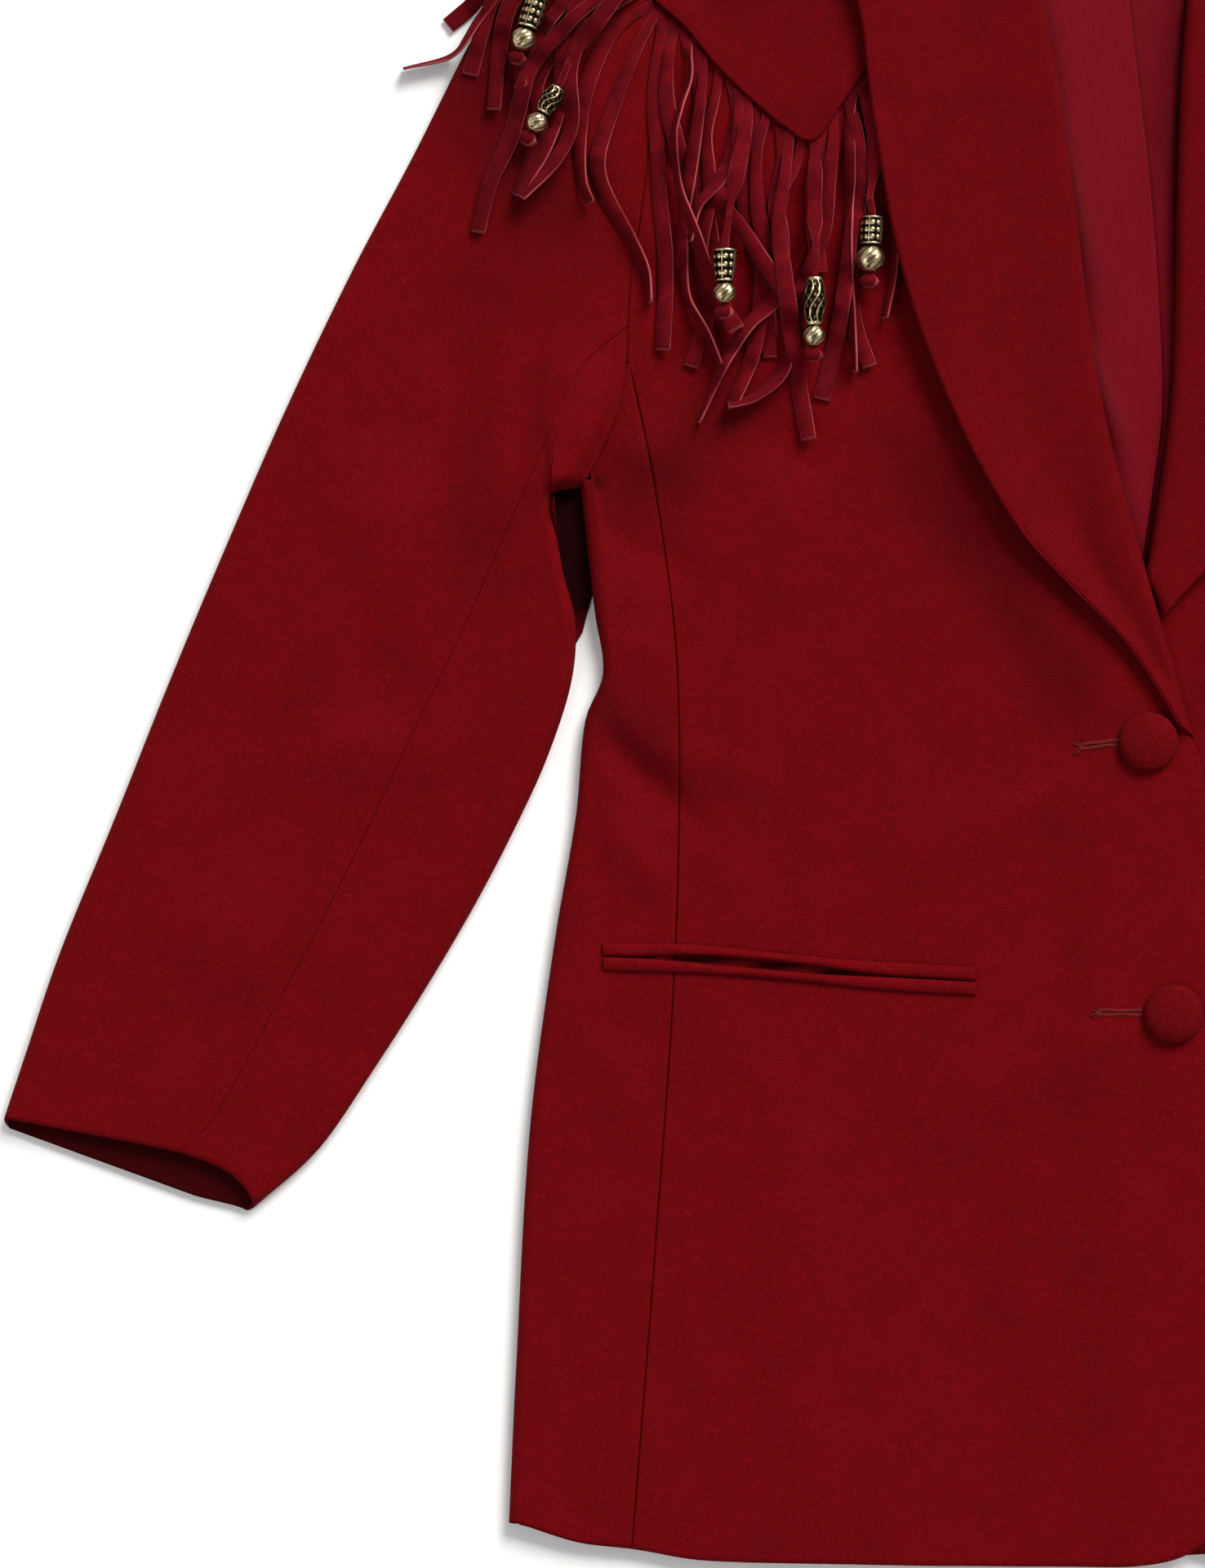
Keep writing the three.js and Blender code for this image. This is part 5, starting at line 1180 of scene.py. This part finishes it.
footless = {key: (*leftFoot[key], *lapel[key][4:]) for key in lapel}
footless["seat"] = (*leftFoot["seat"], *([0] * (len(lapel["rollX"]) - 4)))
for lapelSide, lapelTable, lapelCut in (("right", lapel, (0.14, 0.46)), ("left", footless, (0.14, 0.4))):
    addWall("lapel", lapelGrids(lapelTable, lapelSide == "right"),
            sides=(lapelSide,), shade=overlayShade)

collar = {
    "endX": (-136, -112, -84, -57, -40, -20, 0), "endY": (300.8, 305, 310.4, 315.6, 310, 304, 302.6),
    "foldX": (-143, -114, -84, -57, -34, -17, 0), "foldY": (313, 322, 334, 341, 343, 343.5, 343.5),
    "fallX": (-132, -106, -78, -52, -33, -17, 0), "fallY": (276, 278, 280, 281, 282, 283, 283),
    "top": (14, 14.4, 14.4, 14, 12.5, 11.2, 10.6),
}


def collarGrids():
    # Half the sections and their mirror: the leaf inside, round the fold, and the fall under the back.
    whole = {}
    for key, values in collar.items():
        sign = -1 if key.endswith("X") else 1
        whole[key] = (*values, *[sign * v for v in values[-2::-1]])
    s = mix(0, len(whole["endX"]) - 1, eased(120, 0.3))[:, None]
    part = sectionsAt(whole, s)
    length = np.hypot(part["endX"] - part["foldX"], part["endY"] - part["foldY"])
    inX, inY = (part["endX"] - part["foldX"]) / length, (part["endY"] - part["foldY"]) / length
    grids = []
    for depth in (0, cloth["wall"]):
        radius = part["top"] / 2
        small = radius - depth
        centreX, centreY = part["foldX"] + inX * radius, part["foldY"] + inY * radius
        leaf = np.linspace(0, 0.96, 12)[None, :]
        top = stack(mix(part["endX"], centreX, leaf), mix(part["endY"], centreY, leaf), part["top"] - depth)
        angle = np.radians(np.linspace(88, -84, 16))[None, :]
        far = small * np.cos(angle)
        turn = stack(centreX - inX * far, centreY - inY * far, radius + small * np.sin(angle))
        fall = np.linspace(0.04, 1, 14)[None, :]
        low = stack(mix(centreX, part["fallX"], fall), mix(centreY, part["fallY"], fall),
                    1.9 if depth else 0.0)
        grids.append(np.concatenate([top, turn, low], 1))
    return grids


addWall("collar", collarGrids(), sides=("",))
print("lapels and collar made")


def weltGrids(upper):
    # A padded welt that parts a little from the other one in the pocket's middle.
    t = eased(170, 0.4)[:, None]
    w = eased(22, 0.7)[None, :]
    sign = 1 if upper else -1
    x = mix(pocket["fromX"] + 1, pocket["toX"], t)
    mouth = pocket["slot"] + pocket["mouth"] * window(t, 0.02, 0.34, 0.5, 0.82)
    line = yOf(pocket, x)
    near = line + sign * mouth / 2
    far = line + sign * (pocket["height"] + 0.3 + 0.25 * np.sin(t * 9))
    y = mix(far, near, w)
    ends = np.minimum(t, 1 - t) * 150
    bed = frontTop(x, y, False)
    pad = pocket["rise"] * np.sin(np.pi * np.clip(0.12 + 0.7 * w, 0, 1)) ** 0.7
    drop = rimDrop((1 - w) * 5, 1.1) + rimDrop(w * 5, 0.6) * 0.6
    pad = pad * mix(0.55, 1, smooth(ends, 0, 2.5)) - drop
    return stack(x, y, bed + 0.35 + np.maximum(pad, -0.2)), stack(x, y, bed - 0.9)


for weltName in ("upper", "lower"):
    addWall(f"welt_{weltName}", weltGrids(weltName == "upper"))

buttonForm = {"radius": 12.2, "height": 6.4, "rim": 1.6}


def addButton(name, place):
    # A dome of cloth drawn over a mould, pleated a little at its rim and tucked in under it.
    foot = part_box(f"button_{name}")[0][2] * 1000
    n = max(int(64 * density), 20)
    u, v = np.meshgrid(np.linspace(-1, 1, n), np.linspace(-1, 1, n), indexing="ij")
    # A square grid bent to a disc, so that the dome has no pole.
    discX, discY = u * np.sqrt(1 - v * v / 2), v * np.sqrt(1 - u * u / 2)
    r = np.clip(np.hypot(discX, discY), 0, 1)
    angle = np.arctan2(discY, discX)
    pleats = 0.16 * np.sin(angle * 17 + 1.3 * np.sin(3 * angle)) * smooth(r, 0.82, 0.99)
    dome = mix(buttonForm["rim"], buttonForm["height"], np.sqrt(np.clip(1 - (r * 0.985) ** 2.3, 0, 1)))
    radius = buttonForm["radius"] * (1 - 0.02 * smooth(r, 0.9, 1))
    top = stack(place[0] + discX * radius, place[1] + discY * radius, foot + dome + pleats)
    tucked = radius * mix(1, 0.9, smooth(r, 0.8, 1))
    bottom = stack(place[0] + discX * tucked, place[1] + discY * tucked, foot + 0.9 * smooth(r, 0.4, 1))
    points = np.concatenate([top.reshape(-1, 3), bottom.reshape(-1, 3)])
    addPiece(f"covered_button_{name}", points, wallFaces(n, n), buttonCloth, [f"button_{name}"],
             "covered_button")


buttonholes = {"upper": {"from": (-29, -72.6), "to": (-14, -71.4)},
               "lower": {"from": (-28, -180), "to": (-11, -181)}}
stitch = {"count": 34, "thick": 0.5, "loose": 7, "end": 0.32}  # stitches a lip, and the loose threads


def addButtonhole(name, ends):
    # Two lips of close stitches along a slit and a few loose threads at the outer end.
    a, b = np.array(ends["from"], float), np.array(ends["to"], float)
    heading = unit(b - a)
    side = np.array([-heading[1], heading[0]])
    runs = []
    for lip in (-1, 1):
        for k in range(stitch["count"]):
            t = (k + 0.5) / stitch["count"]
            place = mix(a, b, t) + side * lip * (0.35 + 0.15 * np.sin(t * 9))
            reach = 1.0 + rng.uniform(-0.15, 0.15)
            slant = heading * rng.uniform(-0.25, 0.25)
            across = side * lip * reach + slant
            line = np.array([place, place + across / 2, place + across])
            z = frontTop(line[:, 0], line[:, 1], True) + np.array([0.05, 0.42, -0.05])
            runs.append(band(np.column_stack([line, z]), stitch["thick"], stitch["thick"]))
    for _ in range(stitch["loose"]):
        sweep = heading * -rng.uniform(1.5, 4.5) + side * rng.uniform(-2.4, 2.4)
        line, _ = alongPath([a, a + sweep * 0.5 + side * rng.uniform(-0.8, 0.8), a + sweep], 8)
        z = frontTop(line[:, 0], line[:, 1], True) + 0.35 + 0.5 * np.sin(np.linspace(0, 3, 8))
        runs.append(band(np.column_stack([line, z]), stitch["end"], stitch["end"]))
    addPiece(f"buttonhole_{name}", *joinRuns(runs), holeThread, [], "wool")


for buttonName, buttonPlace in buttons.items():
    addButton(buttonName, buttonPlace)
    addButtonhole(buttonName, buttonholes[buttonName])
print("pockets and buttons made")


camera = {"middle": (-223.5, -77.5), "tall": 633.6, "turn": -3.0, "lens": 85.0, "sensor": 36.0, "plane": 7.0}
paper = {
    "under": "f4f3f1", "base": "f7f6f5", "noise": {"cloud": (500, 2.0, 0.5, 0.0)},
    "layers": [("cloud", 0.0, 1.0, 1.0, "base")], "shader": {"Roughness": 0.9},
}
bpy.ops.mesh.primitive_plane_add(size=7, location=(0, 0, -0.0006))
floor = bpy.context.object
floor.name = "studio_floor"
floor.data.materials.append(plainMaterial("studio_floor", paper))


# Soft boxes: places and sizes in metres, power in watts. Both point at the chest.
lights = {
    "key": {"place": (3.5, 5.5, 5.0), "size": 4.2, "power": 980, "tint": (1.0, 0.985, 0.97)},
    "fill": {"place": (-1.8, -1.0, 2.4), "size": 1.6, "power": 20, "tint": (0.97, 0.98, 1.0)},
}
chest = np.array((-0.15, -0.05, 0.0))


def addLight(name, settings):
    # A square light turned so that it faces the chest.
    data = bpy.data.lights.new(name, "AREA")
    data.size = settings["size"]
    data.energy = settings["power"]
    data.color = settings["tint"]
    light = bpy.data.objects.new(name, data)
    light.location = settings["place"]
    x, y, z = chest - settings["place"]
    light.rotation_euler = (np.arctan2(np.hypot(x, y), -z), 0, np.arctan2(y, x) - np.pi / 2)
    bpy.context.scene.collection.objects.link(light)


for lightName, lightSettings in lights.items():
    addLight(lightName, lightSettings)
world = bpy.data.worlds.new("studio")
world.use_nodes = True
world.node_tree.nodes["Background"].inputs["Color"].default_value = (1, 1, 1, 1)
world.node_tree.nodes["Background"].inputs["Strength"].default_value = 0.36
bpy.context.scene.world = world
bpy.context.scene.view_settings.view_transform = "Standard"

cameraData = bpy.data.cameras.new("overhead")
cameraData.lens = camera["lens"]
cameraData.sensor_width = camera["sensor"]
cameraData.clip_end = 20
overhead = bpy.data.objects.new("overhead", cameraData)
distance = camera["tall"] * camera["lens"] / camera["sensor"] + camera["plane"]
overhead.location = (np.array([*camera["middle"], distance]) + frameShift) / 1000
overhead.rotation_euler = (0, 0, np.radians(camera["turn"]))
bpy.context.scene.collection.objects.link(overhead)
bpy.context.scene.camera = overhead
print("camera and light set")
